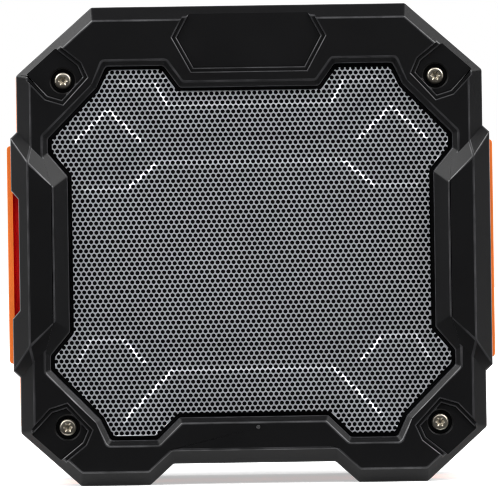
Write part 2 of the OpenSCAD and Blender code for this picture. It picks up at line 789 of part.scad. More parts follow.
// Corner boss with a web out to the side wall
module corner_boss(place, y0, y1) {
    bar_y(place.x, place.y, boss_d / 2, y0, y1);
    block([min(place.x, sign(place.x) * cavity_x), y0, place.y - boss_web_t / 2],
        [max(place.x, sign(place.x) * cavity_x), y1, place.y + boss_web_t / 2]);
}

// Ring between the neck's outside and the cavity, following the corner bosses
module rim_ring(y0, y1) {
    difference() {
        union() {
            difference() {
                slab(neck_outline, y0, y1);
                slab(cavity_outline, y0 - cut, y1 + cut);
            }
            for (place = screw_places) corner_boss(place, y0, y1);
        }
        for (place = screw_places)
            bar_y(place.x, place.y, screw_d / 2 + screw_gap, y0 - cut, y1 + cut);
    }
}

module front_gasket() {
    color(RUBBER) rim_ring(baffle_back_y, rim_y);
}

module rear_gasket() {
    color(RUBBER) rim_ring(rear_rim_y, cover_front_y);
}

// A rail's outline, right for side 1
rail_z = waist_z + rail_over;
rail_root_x = cavity_x + housing_wall;
function rail_outline(side) =
    let (line = [
            [rail_root_x, mid_z + rail_z], [rail_x, mid_z + rail_z],
            [rail_x, mid_z - rail_z], [rail_root_x, mid_z - rail_z]],
        sided = [for (p = line) [side * p.x, p.y]])
    rounded(side > 0 ? sided : backwards(sided), rail_round / 2);

// Button and board positions
button_places = [for (i = [-2:2]) i * button_pitch];
panel_floor_z = band_top_z - panel_recess;
cap_top_z = band_top_z - button_sink;
cap_low_z = cap_top_z - button_cap_h;
collar_top_z = cavity_top_z - button_gap;
stem_low_z = collar_top_z - collar_h - stem_tip;
button_board_top_z = stem_low_z - button_travel - switch_gap - plunger_h - switch_h;
button_post_x = button_board_w / 2 - post_in;
main_board_x = cavity_x - main_board_gap;
main_board_mid_y = (rim_y + rear_rim_y) / 2;
main_post_places = [for (sy = [-1, 1]) for (sz = [-1, 1])
    [main_board_mid_y + sy * (main_board_d / 2 - post_in), mid_z + sz * (main_board_h / 2 - post_in)]];
board_pilot_l = board_screw_l - board_t + pilot_end;

// Port door positions
door_in_x = rail_x - door_t;
hinge_x = rail_x - barrel_r;
hinge_z = mid_z - hinge_drop;
door_top_z = hinge_z + door_h;
pocket_x = door_in_x - fit_gap;
bay_x = pocket_x - port_wall;
bay_half_d = door_w / 2 - 1;
bay_low_z = mid_z - aux_drop - aux_r - 3;
bay_high_z = mid_z + charge_rise + charge_h / 2 + 3;
socket_end_x = pocket_x - fit_gap;

module door_pocket() {
    half = door_w / 2 + door_gap;
    low_z = hinge_z - barrel_r - 2 * door_gap;
    block([pocket_x, -half, low_z], [rail_x + cut, half, door_top_z + door_gap]);
    block([pocket_x, -half / 2, door_top_z], [rail_x + cut, half / 2, door_top_z + notch_h]);
    bar_x_low = hinge_x - barrel_r - door_gap;
    block([bar_x_low, -half, low_z], [rail_x, half, hinge_z + barrel_r + door_gap]);
    translate([hinge_x, -half - pin_hold, hinge_z]) rotate([-90, 0, 0])
        cylinder(h = 2 * (half + pin_hold), r = pin_r + pin_gap / 2);
}

module port_holes() {
    bar_x(0, mid_z - aux_drop, aux_r + fit_gap, bay_x - cut, pocket_x + cut);
    block([bay_x - cut, -charge_w / 2 - fit_gap, mid_z + charge_rise - charge_h / 2 - fit_gap],
        [pocket_x + cut, charge_w / 2 + fit_gap, mid_z + charge_rise + charge_h / 2 + fit_gap]);
    block([cavity_x - cut, -bay_half_d, bay_low_z], [bay_x, bay_half_d, bay_high_z]);
}

module housing_shell() {
    difference() {
        union() {
            slab(rounded(band_outline, outline_round), frame_back_y, -frame_back_y);
            slab(neck_outline, rim_y, rear_rim_y);
            for (side = [1, -1]) slab(rail_outline(side), frame_back_y, -frame_back_y);
        }
        slab(cavity_outline, rim_y - cut, rear_rim_y + cut);
    }
    for (place = screw_places) corner_boss(place, rim_y, rear_rim_y);
    for (place = main_post_places)
        bar_x(place.x, place.y, post_d / 2, main_board_x, cavity_x + housing_wall / 2);
    for (x = [button_post_x, -button_post_x])
        translate([x, 0, button_board_top_z])
            cylinder(h = cavity_top_z - button_board_top_z + housing_wall / 2, d = post_d);
}

module housing() {
    color(ORANGE) difference() {
        housing_shell();
        for (place = screw_places) {
            pilot_l = screw_l - head_seat_t - baffle_t - gasket_t + pilot_end;
            bar_y(place.x, place.y, screw_d / 2 + thread_gap, rim_y - cut, rim_y + pilot_l);
            rear_l = screw_l - head_seat_t - cover_t - gasket_t + pilot_end;
            bar_y(place.x, place.y, screw_d / 2 + thread_gap, rear_rim_y - rear_l, rear_rim_y + cut);
        }
        for (place = main_post_places)
            bar_x(place.x, place.y, board_screw_d / 2 + thread_gap, main_board_x - cut,
                main_board_x + board_pilot_l);
        for (x = [button_post_x, -button_post_x])
            translate([x, 0, button_board_top_z - cut])
                cylinder(h = board_pilot_l + cut, d = board_screw_d + 2 * thread_gap);
        block([-panel_w / 2 - fit_gap, -panel_d / 2 - fit_gap, panel_floor_z],
            [panel_w / 2 + fit_gap, panel_d / 2 + fit_gap, band_top_z + cut]);
        for (x = button_places)
            translate([x, 0, cavity_top_z - cut])
                cylinder(h = panel_floor_z - cavity_top_z + 2 * cut, d = stem_d + 2 * button_gap);
        slab(slot_outline(bar_in_x), frame_back_y - cut, -slot_web / 2);
        slab(slot_outline(bar_in_x), slot_web / 2, -frame_back_y + cut);
        door_pocket();
        port_holes();
    }
}

// The rear cover closes the rear frame's opening
cover_field_y = -grille_y + cover_rise;
cover_hollow = cover_t + fit_gap;
module rear_cover() {
    cover_opening = rounded(inset(opening, fit_gap), opening_round);
    color(BLACK) difference() {
        union() {
            slab(neck_outline, cover_front_y, cover_seat_y);
            slab(flange_outline, cover_seat_y - cut, -grille_y);
            slab(cover_opening, cover_seat_y, cover_field_y);
            for (i = [0:cover_ribs - 1]) {
                z = mid_z + (i - (cover_ribs - 1) / 2) * cover_rib_pitch;
                block([-cover_rib_l / 2, cover_field_y - cut, z - cover_rib_w / 2],
                    [cover_rib_l / 2, cover_field_y + cover_rib_h, z + cover_rib_w / 2]);
            }
        }
        slab(inset(opening, cover_hollow), cover_front_y - cut, cover_field_y - cover_t);
        for (place = screw_places)
            bar_y(place.x, place.y, screw_d / 2 + screw_gap, cover_front_y - cut, cover_seat_y + cut);
    }
}

// Driver, sizes measured back from the flange's front
ledge_t = surround_t + 0.1;
ledge_r = throat_r + 2.6;
floor_front_t = basket_h - basket_t;
plate_front_t = basket_h;
magnet_front_t = plate_front_t + pole_plate_t;
yoke_front_t = magnet_front_t + magnet_t;
gap_r = former_r + winding_t + coil_gap;
pole_r = former_r - former_t - coil_gap;
coil_mid_t = plate_front_t + pole_plate_t / 2;
roll_mid_r = cone_r + roll_r;
cone_front_t = ledge_t;
neck_t = cone_front_t + cone_h;
rim_in_r = cone_r - 2;
window_gap = 2;
shelf_t = floor_front_t - shelf_h;
spider_r = floor_r - 1;
shelf_r = spider_r - spider_lip;
shelf_wall_r = throat_r - (throat_r - floor_r + basket_t) * (shelf_t - flange_t) / (floor_front_t - flange_t);

module driver_basket() {
    color(STEEL) difference() {
        turned([
            [throat_r, 0], [flange_r, 0], [flange_r, flange_t], [throat_r + basket_t, flange_t],
            [floor_r, basket_h], [gap_r + fit_gap, basket_h], [gap_r + fit_gap, floor_front_t],
            [shelf_r, floor_front_t], [shelf_r, shelf_t], [shelf_wall_r, shelf_t], [throat_r, flange_t]
        ]);
        ring(throat_r - 1, ledge_r, -cut, ledge_t);
        for (a = [0:90:270])
            translate([0, driver_y + flange_t + window_gap, mid_z]) rotate([0, a, 0])
                block([-floor_r / 2, 0, floor_r - 2 * basket_t],
                    [floor_r / 2, shelf_t - flange_t - 1.5 * window_gap, flange_r]);
        for (p = driver_screw_places)
            bar_y(p.x, mid_z + p.y, driver_screw_d / 2 + screw_gap, driver_y - cut,
                driver_y + flange_t + cut);
    }
}

module driver_gasket() {
    color(RUBBER) difference() {
        ring(ledge_r, flange_r, -driver_gasket_t, 0);
        for (p = driver_screw_places)
            bar_y(p.x, mid_z + p.y, driver_screw_d / 2 + screw_gap, driver_y - driver_gasket_t - cut,
                driver_y + cut);
    }
}

module driver_screws() {
    color(STEEL) for (p = driver_screw_places)
        translate([p.x, driver_y + flange_t, mid_z + p.y]) mirror([0, 1, 0])
            screw(driver_screw_d, driver_screw_l, driver_head_d, driver_head_h);
}

function arc(r, steps) =
    [for (i = [0:steps]) let (a = 180 * i / steps) [roll_mid_r + r * cos(a), -r * sin(a)]];
module surround() {
    lip_t = ledge_t - surround_t;
    inner_r = roll_r - surround_t;
    roll_out = [for (p = arc(roll_r, 12)) [p.x, p.y + lip_t]];
    roll_in = [for (p = arc(inner_r, 12)) [p.x, p.y + lip_t]];
    color(RUBBER) turned(concat(
        [[ledge_r - fit_gap, lip_t]], roll_out, [[rim_in_r, lip_t], [rim_in_r, ledge_t]],
        [[roll_mid_r - inner_r, ledge_t]], backwards(roll_in),
        [[roll_mid_r + inner_r, ledge_t], [ledge_r - fit_gap, ledge_t]]
    ));
}

module cone() {
    color([0.15, 0.15, 0.16]) turned([
        [cone_r - fit_gap, cone_front_t], [cone_r - fit_gap, cone_front_t + cone_t],
        [rim_in_r, cone_front_t + cone_t], [former_r + thread_gap, neck_t + cone_t],
        [former_r + thread_gap, neck_t], [rim_in_r, cone_front_t]
    ]);
}

module dust_cap() {
    base_t = cone_front_t + cone_h * (rim_in_r - cap_r) / (rim_in_r - former_r) - thread_gap;
    dome = [for (i = [0:8]) let (u = i / 8) [cap_r * u, base_t - cone_t - cap_h * (1 - u * u)]];
    inner = [for (i = [8:-1:0]) let (u = i / 8) [(cap_r - cone_t) * u, base_t - cap_h * (1 - u * u)]];
    color(RUBBER) turned(concat(dome, [[cap_r, base_t]], inner));
}

module voice_coil() {
    low = coil_mid_t - winding_l / 2;
    high = coil_mid_t + winding_l / 2;
    inner = former_r - former_t;
    outer = former_r + winding_t;
    color([0.72, 0.42, 0.2]) turned([
        [inner, neck_t], [former_r, neck_t], [former_r, low], [outer, low], [outer, high], [inner, high]
    ]);
}

module spider() {
    inner = former_r + thread_gap;
    steps = 24;
    front_t = shelf_t - spider_t;
    wave = [for (i = [0:steps])
        [inner + (shelf_r - inner) * i / steps, front_t - spider_wave * (1 - cos(1080 * i / steps)) / 2]];
    color([0.75, 0.65, 0.4]) turned(concat(
        wave, [[spider_r, front_t], [spider_r, shelf_t]], backwards([for (p = wave) [p.x, p.y + spider_t]])
    ));
}

module top_plate() {
    color(STEEL) ring(gap_r, pole_plate_r, plate_front_t, magnet_front_t);
}

module magnet() {
    color([0.2, 0.2, 0.21]) ring(gap_r + 2, magnet_r, magnet_front_t, yoke_front_t);
}

module yoke() {
    back = yoke_front_t + pole_plate_t;
    color(STEEL) turned([
        [vent_r, plate_front_t], [pole_r, plate_front_t], [pole_r, yoke_front_t],
        [pole_plate_r, yoke_front_t], [pole_plate_r, back], [vent_r, back]
    ]);
}

terminal_y = driver_y + flange_t;
module terminal_strip() {
    lug = 1.2;
    color([0.55, 0.4, 0.25]) {
        block([throat_r + basket_t + 0.4, terminal_y, mid_z - terminal_w / 2],
            [flange_r, terminal_y + terminal_t, mid_z + terminal_w / 2]);
        for (s = [-1, 1])
            block([flange_r - 3 * lug, terminal_y + terminal_t, mid_z + s * terminal_w / 4 - lug / 2],
                [flange_r - lug, terminal_y + terminal_t + lug, mid_z + s * terminal_w / 4 + lug / 2]);
    }
}

// Controls on top
module control_panel() {
    color(RUBBER) difference() {
        block([-panel_w / 2, -panel_d / 2, panel_floor_z],
            [panel_w / 2, panel_d / 2, band_top_z - panel_sink]);
        for (x = button_places)
            translate([x, 0, panel_floor_z - cut])
                cylinder(h = panel_recess + 2 * cut, d = button_d + 2 * button_gap);
    }
}

module button(index) {
    rim = button_cap_h * 0.4;
    color(BLACK) translate([button_places[index], 0, 0]) rotate_extrude() polygon([
        [0, stem_low_z], [stem_d / 2, stem_low_z], [stem_d / 2, collar_top_z - collar_h],
        [collar_d / 2, collar_top_z - collar_h], [collar_d / 2, collar_top_z], [stem_d / 2, collar_top_z],
        [stem_d / 2, cap_low_z], [button_d / 2, cap_low_z], [button_d / 2, cap_top_z - rim],
        [button_d / 2 - rim, cap_top_z], [0, cap_top_z]
    ]);
}

module power_button() {
    button(0);
}

module pair_button() {
    button(1);
}

module volume_down_button() {
    button(2);
}

module play_button() {
    button(3);
}

module volume_up_button() {
    button(4);
}

module button_board() {
    color(BOARD_GREEN) difference() {
        block([-button_board_w / 2, -button_board_d / 2, button_board_top_z - board_t],
            [button_board_w / 2, button_board_d / 2, button_board_top_z]);
        for (x = [button_post_x, -button_post_x])
            translate([x, 0, button_board_top_z - board_t - cut])
                cylinder(h = board_t + 2 * cut, d = board_screw_d + 2 * screw_gap);
    }
}

module tact_switches() {
    color(STEEL) for (x = button_places) {
        translate([x - switch_w / 2, -switch_w / 2, button_board_top_z]) cube([switch_w, switch_w, switch_h]);
        translate([x, 0, button_board_top_z + switch_h]) cylinder(h = plunger_h, d = plunger_d);
    }
}

module button_board_screws() {
    color(STEEL) for (x = [button_post_x, -button_post_x])
        translate([x, 0, button_board_top_z - board_t]) rotate([90, 0, 0])
            screw(board_screw_d, board_screw_l, board_head_d, board_head_h);
}

// Main board, standing against the right wall
module main_board() {
    inner_x = main_board_x - board_t;
    chip = [12, 14, 1.2];
    capacitor_r = 3;
    capacitor_h = 6;
    color(BOARD_GREEN) {
        difference() {
            block([inner_x, main_board_mid_y - main_board_d / 2, mid_z - main_board_h / 2],
                [main_board_x, main_board_mid_y + main_board_d / 2, mid_z + main_board_h / 2]);
            for (place = main_post_places)
                bar_x(place.x, place.y, board_screw_d / 2 + screw_gap, inner_x - cut, main_board_x + cut);
        }
        block([inner_x - chip.z, main_board_mid_y - chip.x / 2, mid_z - chip.y / 2],
            [inner_x, main_board_mid_y + chip.x / 2, mid_z + chip.y / 2]);
        for (s = [-1, 1])
            bar_x(main_board_mid_y + s * capacitor_r * 1.5, mid_z + chip.y / 2 + capacitor_r + 2, capacitor_r,
                inner_x - capacitor_h, inner_x);
    }
}

module main_board_screws() {
    color(STEEL) for (place = main_post_places)
        translate([main_board_x - board_t, place.x, place.y]) rotate([0, 0, -90])
            screw(board_screw_d, board_screw_l, board_head_d, board_head_h);
}

module aux_socket() {
    foot = 3;
    color(RUBBER) difference() {
        union() {
            bar_x(0, mid_z - aux_drop, aux_r, main_board_x, socket_end_x);
            block([main_board_x, -aux_r, mid_z - aux_drop - aux_r],
                [main_board_x + foot, aux_r, mid_z - aux_drop + aux_r]);
        }
        bar_x(0, mid_z - aux_drop, aux_bore_r, socket_end_x - aux_bore_l, socket_end_x + cut);
    }
}

module charging_socket() {
    z = mid_z + charge_rise;
    mouth_x = socket_end_x - charge_l;
    color(STEEL) {
        difference() {
            block([main_board_x, -charge_w / 2, z - charge_h / 2],
                [socket_end_x, charge_w / 2, z + charge_h / 2]);
            block([mouth_x, -charge_w / 2 + charge_wall, z - charge_h / 2 + charge_wall],
                [socket_end_x + cut, charge_w / 2 - charge_wall, z + charge_h / 2 - charge_wall]);
        }
        block([mouth_x - cut, -tongue_t / 2, z - charge_h / 2 + 3 * charge_wall],
            [socket_end_x - 1, tongue_t / 2, z + charge_h / 2 - 3 * charge_wall]);
    }
}

// Port door, hinged along Y at its lower edge
module port_door() {
    lip = 1.4;
    rib = 0.5;
    color(RUBBER) difference() {
        union() {
            block([door_in_x, -door_w / 2, hinge_z], [rail_x, door_w / 2, door_top_z]);
            bar_y(hinge_x, hinge_z, barrel_r, -door_w / 2, door_w / 2);
        }
        bar_y(hinge_x, hinge_z, pin_r + pin_gap, -door_w / 2 - cut, door_w / 2 + cut);
        block([rail_x - rib, -door_w / 2 + lip, door_top_z - 4 * lip],
            [rail_x + cut, door_w / 2 - lip, door_top_z - 3 * lip]);
        block([rail_x - rib, -door_w / 2 + lip, door_top_z - 2 * lip],
            [rail_x + cut, door_w / 2 - lip, door_top_z - lip]);
    }
}

module port_door_pin() {
    color(STEEL) bar_y(hinge_x, hinge_z, pin_r, -door_w / 2 - door_gap - pin_hold,
        door_w / 2 + door_gap + pin_hold);
}

// Battery, two cells side by side on a tray over the housing's floor
tray_l = cell_l + 2 * cell_gap + 2 * tray_t;
tray_w = 2 * cell_d + 3 * cell_gap + 2 * tray_t;
tray_low_y = (baffle_back_y + cover_front_y - tray_w) / 2;
cell_z = cavity_floor_z + tray_t + cell_gap + cell_d / 2;

module battery_tray() {
    color(BLACK) difference() {
        block([-tray_l / 2, tray_low_y, cavity_floor_z],
            [tray_l / 2, tray_low_y + tray_w, cavity_floor_z + tray_t + tray_wall_h]);
        block([-tray_l / 2 + tray_t, tray_low_y + tray_t, cavity_floor_z + tray_t],
            [tray_l / 2 - tray_t, tray_low_y + tray_w - tray_t, cavity_floor_z + tray_t + tray_wall_h + cut]);
    }
}

module battery_cells() {
    nub_r = 3;
    nub_l = cell_gap / 2;
    color([0.25, 0.45, 0.7]) for (i = [0, 1]) {
        y = tray_low_y + tray_t + cell_gap + cell_d / 2 + i * (cell_d + cell_gap);
        bar_x(y, cell_z, cell_d / 2, -cell_l / 2, cell_l / 2);
        bar_x(y, cell_z, nub_r, cell_l / 2, cell_l / 2 + nub_l);
    }
}

module status_light_pipe() {
    dome = 0.1;
    color([0.75, 0.75, 0.72]) bar_y(pipe_x, pipe_z, pipe_d / 2, face_y - dome, baffle_back_y);
}

module status_light_board() {
    mid = pipe_z + light_board_rise;
    color(BOARD_GREEN) block([pipe_x - light_board_w / 2, baffle_back_y, mid - light_board_h / 2],
        [pipe_x + light_board_w / 2, baffle_back_y + light_board_t, mid + light_board_h / 2]);
}

// Leads, each a round wire along hand-chosen points
wire_r = 0.7;
wire_sides = 8;
function heading(path, i) = unit(path[min(i + 1, len(path) - 1)] - path[max(i - 1, 0)]);
function wire_ring(p, d) =
    let (side = unit(cross(d, abs(d.z) < 0.9 ? [0, 0, 1] : [1, 0, 0])), up = cross(side, d))
    [for (k = [0:wire_sides - 1]) let (a = 360 * k / wire_sides) p + wire_r * (cos(a) * side + sin(a) * up)];
module wire(path) {
    n = wire_sides;
    last = (len(path) - 1) * n;
    points = [for (i = [0:len(path) - 1]) each wire_ring(path[i], heading(path, i))];
    walls = [for (i = [0:len(path) - 2]) for (k = [0:n - 1])
        let (a = i * n + k, b = i * n + (k + 1) % n) each [[a, b, b + n], [a, b + n, a + n]]];
    front = [for (k = [1:n - 2]) [0, k + 1, k]];
    back = [for (k = [1:n - 2]) [last, last + k, last + k + 1]];
    polyhedron(points, concat(walls, front, back));
}

board_in_x = main_board_x - board_t;
// How far a lead runs straight out of the face it starts or ends on
lead_stub = 2.5;
// Half the distance between the two wires of a lead on the main board
lead_gap = 4;
// The speaker lead's run back to the main board and its wires' half distance there
speaker_lead_back = 11;
speaker_lead_gap = 10;
// Distance of the status lead's end from the main board's edges
lead_edge = 1.5;
function along(a, b, u) = a + u * (b - a);

module speaker_leads() {
    lug_y = terminal_y + terminal_t + 0.6;
    color("red") for (s = [-1, 1]) {
        start = [flange_r - 1.2, lug_y, mid_z + s * terminal_w / 4];
        end = [board_in_x, lug_y + speaker_lead_back, mid_z + s * speaker_lead_gap];
        wire([
            start, start + [lead_stub, 0, 0], along(start, end, 0.4), along(start, end, 0.7),
            end - [lead_stub, 0, 0], end
        ]);
    }
}

module battery_leads() {
    color("black") for (y = [-lead_gap, lead_gap]) {
        start = [tray_l / 2, y, cavity_floor_z + tray_wall_h / 2];
        end = [board_in_x, y, mid_z - main_board_h / 2 + post_in];
        wire([
            start, start + [lead_stub, 0, 0], along(start, end, 0.35) - [0, 0, lead_gap],
            along(start, end, 0.7),
            end - [lead_stub, 0, 0], end
        ]);
    }
}

module button_leads() {
    color("white") for (y = [-lead_gap, lead_gap]) {
        start = [button_post_x - post_d, y, button_board_top_z - board_t];
        end = [board_in_x, y, mid_z + main_board_h / 2 - post_in];
        wire([
            start, start - [0, 0, lead_stub], along(start, end, 0.35), along(start, end, 0.7),
            end - [lead_stub, 0, 0], end
        ]);
    }
}

module status_leads() {
    start = [pipe_x + light_board_w / 2, baffle_back_y + wire_r + thread_gap, pipe_z + light_board_rise];
    end = [board_in_x, main_board_mid_y - main_board_d / 2 + lead_edge, mid_z - main_board_h / 2 + lead_edge];
    low = [end.x * 0.6, start.y, start.z];
    color("grey") wire([
        start, start + [lead_stub, 0, 0], low, along(low, end, 0.5), end - [lead_stub, 0, 0], end
    ]);
}

front_frame();
grille();
grille_cloth();
front_screws();
baffle();
front_gasket();
housing();
rear_frame();
rear_cover();
rear_gasket();
rear_screws();
driver_basket();
driver_gasket();
driver_screws();
surround();
cone();
dust_cap();
voice_coil();
spider();
top_plate();
magnet();
yoke();
terminal_strip();
control_panel();
power_button();
pair_button();
volume_down_button();
play_button();
volume_up_button();
button_board();
tact_switches();
button_board_screws();
main_board();
charging_socket();
aux_socket();
main_board_screws();
port_door();
port_door_pin();
battery_tray();
battery_cells();
status_light_pipe();
status_light_board();
speaker_leads();
battery_leads();
button_leads();
status_leads();
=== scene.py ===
"""Dresses a rugged jobsite speaker: soft edges, punched grille, screws, marks, finishes and studio."""

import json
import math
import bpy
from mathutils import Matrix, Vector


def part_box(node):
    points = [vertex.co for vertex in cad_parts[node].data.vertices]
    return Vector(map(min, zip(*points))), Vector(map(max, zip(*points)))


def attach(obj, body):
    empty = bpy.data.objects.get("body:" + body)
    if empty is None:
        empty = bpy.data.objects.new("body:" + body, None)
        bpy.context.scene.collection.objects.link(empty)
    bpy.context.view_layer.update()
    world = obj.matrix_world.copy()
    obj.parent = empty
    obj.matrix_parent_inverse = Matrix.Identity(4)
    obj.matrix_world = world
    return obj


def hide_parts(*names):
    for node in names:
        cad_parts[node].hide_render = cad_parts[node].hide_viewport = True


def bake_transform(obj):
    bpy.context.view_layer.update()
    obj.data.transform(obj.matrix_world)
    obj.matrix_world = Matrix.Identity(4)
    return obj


bl_info = {
    "name": "Jobsite speaker",
    "version": (1, 0, 0),
    "blender": (4, 5, 0),
    "location": "3D View > Sidebar > Speaker",
    "description": "Builds the looks of a rugged speaker round its fixed frame",
    "category": "Object",
}

from functools import partial

import bmesh
import bpy
from bpy.props import FloatProperty, FloatVectorProperty, IntProperty, PointerProperty
from mathutils import Matrix, Quaternion, Vector

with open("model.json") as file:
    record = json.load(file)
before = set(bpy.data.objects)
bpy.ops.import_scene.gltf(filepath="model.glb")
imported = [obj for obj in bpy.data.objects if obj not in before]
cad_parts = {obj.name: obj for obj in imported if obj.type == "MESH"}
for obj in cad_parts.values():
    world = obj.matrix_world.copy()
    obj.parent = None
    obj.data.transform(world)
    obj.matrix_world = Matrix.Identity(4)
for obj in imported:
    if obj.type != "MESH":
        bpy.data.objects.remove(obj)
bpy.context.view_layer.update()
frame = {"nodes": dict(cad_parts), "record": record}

MM = 0.001
# Points closer than this are one point
MERGE = 0.001 * MM
# Faces that turn less than this lie in one plane
FLAT_ANGLE = math.radians(0.3)
# Edges that turn less than this are shaded smooth
SMOOTH_ANGLE = math.radians(40)
# Flat faces that turn less than this belong to one curve
CURVE_TURN = math.cos(math.radians(16))
# A rounded edge's faces turn less than this from the flat faces beside it
EDGE_TURN = math.cos(math.radians(55))
PHOTO_W = 498
SENSOR = 36 * MM
# How far the side pads stand out from the frames' face
PAD_RISE = 2.6 * MM
# Height of the pressed fields of the grille
FIELD_H = 0.7 * MM
# Room for rounding where depths are compared
NEAR = 0.1 * MM

slot_of = {row["node"]: row["material_slot"] for row in frame["record"]["subparts"]}
body_of = {
    node: body
    for body, members in frame["record"]["behaviour"]["bodies"].items()
    for node in members
}
face_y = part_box("front_frame")[0].y + PAD_RISE
field_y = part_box("grille")[0].y + FIELD_H
mid_z = (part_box("grille")[0].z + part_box("grille")[1].z) / 2


def srgb(red, green, blue):
    """A colour given in screen values from 0 to 255, as linear light."""
    shares = [value / 255 for value in (red, green, blue)]
    return tuple(s / 12.92 if s <= 0.04045 else ((s + 0.055) / 1.055) ** 2.4 for s in shares)


def number(label, note, default, **limits):
    """A number that a user may change."""
    return FloatProperty(name=label, description=note, default=default, **limits)


def length(label, note, default, **limits):
    """A size in metres that a user may change."""
    return number(label, note, default, unit="LENGTH", precision=5, **limits)


def tint(label, note, default):
    """A surface colour that a user may change."""
    return FloatVectorProperty(
        name=label, description=note, default=default, subtype="COLOR", size=3, min=0, max=1
    )


class SpeakerSizes(bpy.types.PropertyGroup):
    """Sizes of the details that the finish adds."""

    frame_edge: length("Frame edge", "Rounding of the frames' outer edges", 0.4 * MM, min=0)
    case_edge: length("Case edge", "Rounding of the housing, cover and panel", 0.3 * MM, min=0)
    door_edge: length("Door edge", "Rounding of the port door", 0.2 * MM, min=0)
    crease: length("Grille crease", "Rounding of the pressed creases in the sheet", 0.22 * MM, min=0)
    hole_pitch: length("Hole pitch", "Distance between holes along a row", 1.5737 * MM, min=0.5 * MM)
    row_gap: length("Row gap", "Distance between rows of holes", 1.3424 * MM, min=0.5 * MM)
    hole_radius: length("Hole radius", "Radius of a grille hole", 0.63 * MM, min=0.1 * MM)
    hole_sides: IntProperty(
        name="Hole sides", description="Sides of a grille hole", default=8, min=5, max=16
    )
    hole_turn: number("Lattice turn", "Turn of the lattice of holes", math.radians(0.29), subtype="ANGLE")
    hole_shift_x: length("Lattice shift X", "Sideways shift of the lattice of holes", 0.17 * MM)
    hole_shift_z: length("Lattice shift Z", "Upward shift of the lattice of holes", 1.0 * MM)
    hole_over: length("Hole overhang", "How far a hole may pass the sheet's edge", 0.5 * MM, min=0)
    mark_rise: length("Mark rise", "Height of the marks on the buttons", 0.2 * MM, min=0)
    mark_line: length("Mark line", "Width of the lines in the button marks", 0.75 * MM, min=0)


class SpeakerColours(bpy.types.PropertyGroup):
    """Colours of the finishes."""

    black_plastic: tint("Black plastic", "Frames, cover, baffle and other black mouldings", srgb(13, 13, 14))
    # Lighter edge colour: partly rubbed wear, partly painted sheen along the rounded edges
    black_wear_and_sheen: tint("Worn black", "Black plastic and rubber where edges are rubbed", srgb(58, 58, 60))
    orange_plastic: tint("Orange plastic", "Housing", srgb(232, 112, 34))
    # Lighter edge colour: partly rubbed wear, partly painted sheen along the rounded edges
    orange_wear_and_sheen: tint("Worn orange", "Orange plastic where edges are rubbed", srgb(240, 140, 70))
    # Painted shade: stands in for the orange housing in deep shadow inside the slot
    slot_shade_red: tint("Slot red", "Inside of the slot behind the left rail", srgb(238, 26, 22))
    grille_paint: tint("Grille paint", "Satin grey paint of the sheet", srgb(172, 174, 179))
    # This colour is also painted shade on the sheet's folded rim
    cloth: tint("Cloth", "Acoustic cloth behind the sheet, and the sheet's rim", srgb(12, 12, 13))
    steel: tint("Bright steel", "Plated screws, hinge pin and other bright steel", srgb(208, 200, 184))
    rubber: tint("Rubber", "Buttons, control panel, port door and surround", srgb(26, 26, 27))
    mark: tint("Mark paint", "Marks on the buttons", srgb(196, 196, 192))


class SpeakerStudio(bpy.types.PropertyGroup):
    """Camera and light."""

    pixel: length("Pixel size", "Width of one picture pixel at the frames' face", 0.2933 * MM)
    distance: length("Camera distance", "From the camera to the frames' face", 1467.6 * MM)
    aim_x: length("Aim X", "Point of the face in the picture's middle, sideways", -0.75 * MM)
    aim_z: length("Aim Z", "Point of the face in the picture's middle, upwards", 70.5 * MM)
    camera_x: length("Camera right", "How far the camera stands to the right", -13 * MM)
    camera_z: length("Camera up", "How far the camera stands above the aim point", 0)
    roll: number("Roll", "Turn of the picture", math.radians(0.845), subtype="ANGLE")
    softbox_power: number("Softbox power", "Softbox power for each metre of width", 18.5, subtype="POWER")
    fill_power: number("Fill power", "Power of the front fill", 4.0, subtype="POWER")
    room: number("Room light", "Strength of the soft room light", 0.3, min=0)


# Node helpers


def add_node(tree, kind, settings=None, inputs=None):
    """Adds a node, with its settings, and sets or links its inputs by name or number."""
    node = tree.nodes.new(kind)
    for name, value in (settings or {}).items():
        setattr(node, name, value)
    for key, value in (inputs or {}).items():
        socket = node.inputs[key]
        if isinstance(value, bpy.types.NodeSocket):
            tree.links.new(value, socket)
        else:
            socket.default_value = value
    return node


def calc(tree, operation, first, second=0.0, third=0.0):
    """The result of one sum on numbers or sockets."""
    inputs = {0: first, 1: second, 2: third}
    return add_node(tree, "ShaderNodeMath", {"operation": operation}, inputs).outputs[0]


def vector_calc(tree, operation, first, second):
    """The result of one sum on vectors."""
    node = add_node(tree, "ShaderNodeVectorMath", {"operation": operation}, {0: first, 1: second})
    return node.outputs[0]


def scaled(tree, vector, scale):
    """A vector made longer by a number."""
    node = add_node(tree, "ShaderNodeVectorMath", {"operation": "SCALE"}, {0: vector, "Scale": scale})
    return node.outputs[0]


def between(tree, share, low, high):
    """A number that runs from low to high as share runs from 0 to 1."""
    inputs = {"Value": share, "To Min": low, "To Max": high}
    return add_node(tree, "ShaderNodeMapRange", None, inputs).outputs[0]


def blend_colour(tree, share, first, second):
    """A colour that runs from the first to the second."""
    node = add_node(tree, "ShaderNodeMix", {"data_type": "RGBA"}, {0: share})
    for key, value in ((6, first), (7, second)):
        if isinstance(value, bpy.types.NodeSocket):
            tree.links.new(value, node.inputs[key])
        else:
            node.inputs[key].default_value = (*value, 1)
    return node.outputs[2]


def object_point(tree):
    """The place on the piece, in the frame's own axes."""
    return add_node(tree, "ShaderNodeTexCoord").outputs["Object"]


def noise(tree, size, detail, distortion=0.0):
    """Soft noise with patches of about that size."""
    point = scaled(tree, object_point(tree), calc(tree, "DIVIDE", 1.0, size))
    inputs = {"Vector": point, "Scale": 1.0, "Detail": detail, "Distortion": distortion}
    return add_node(tree, "ShaderNodeTexNoise", None, inputs).outputs[0]


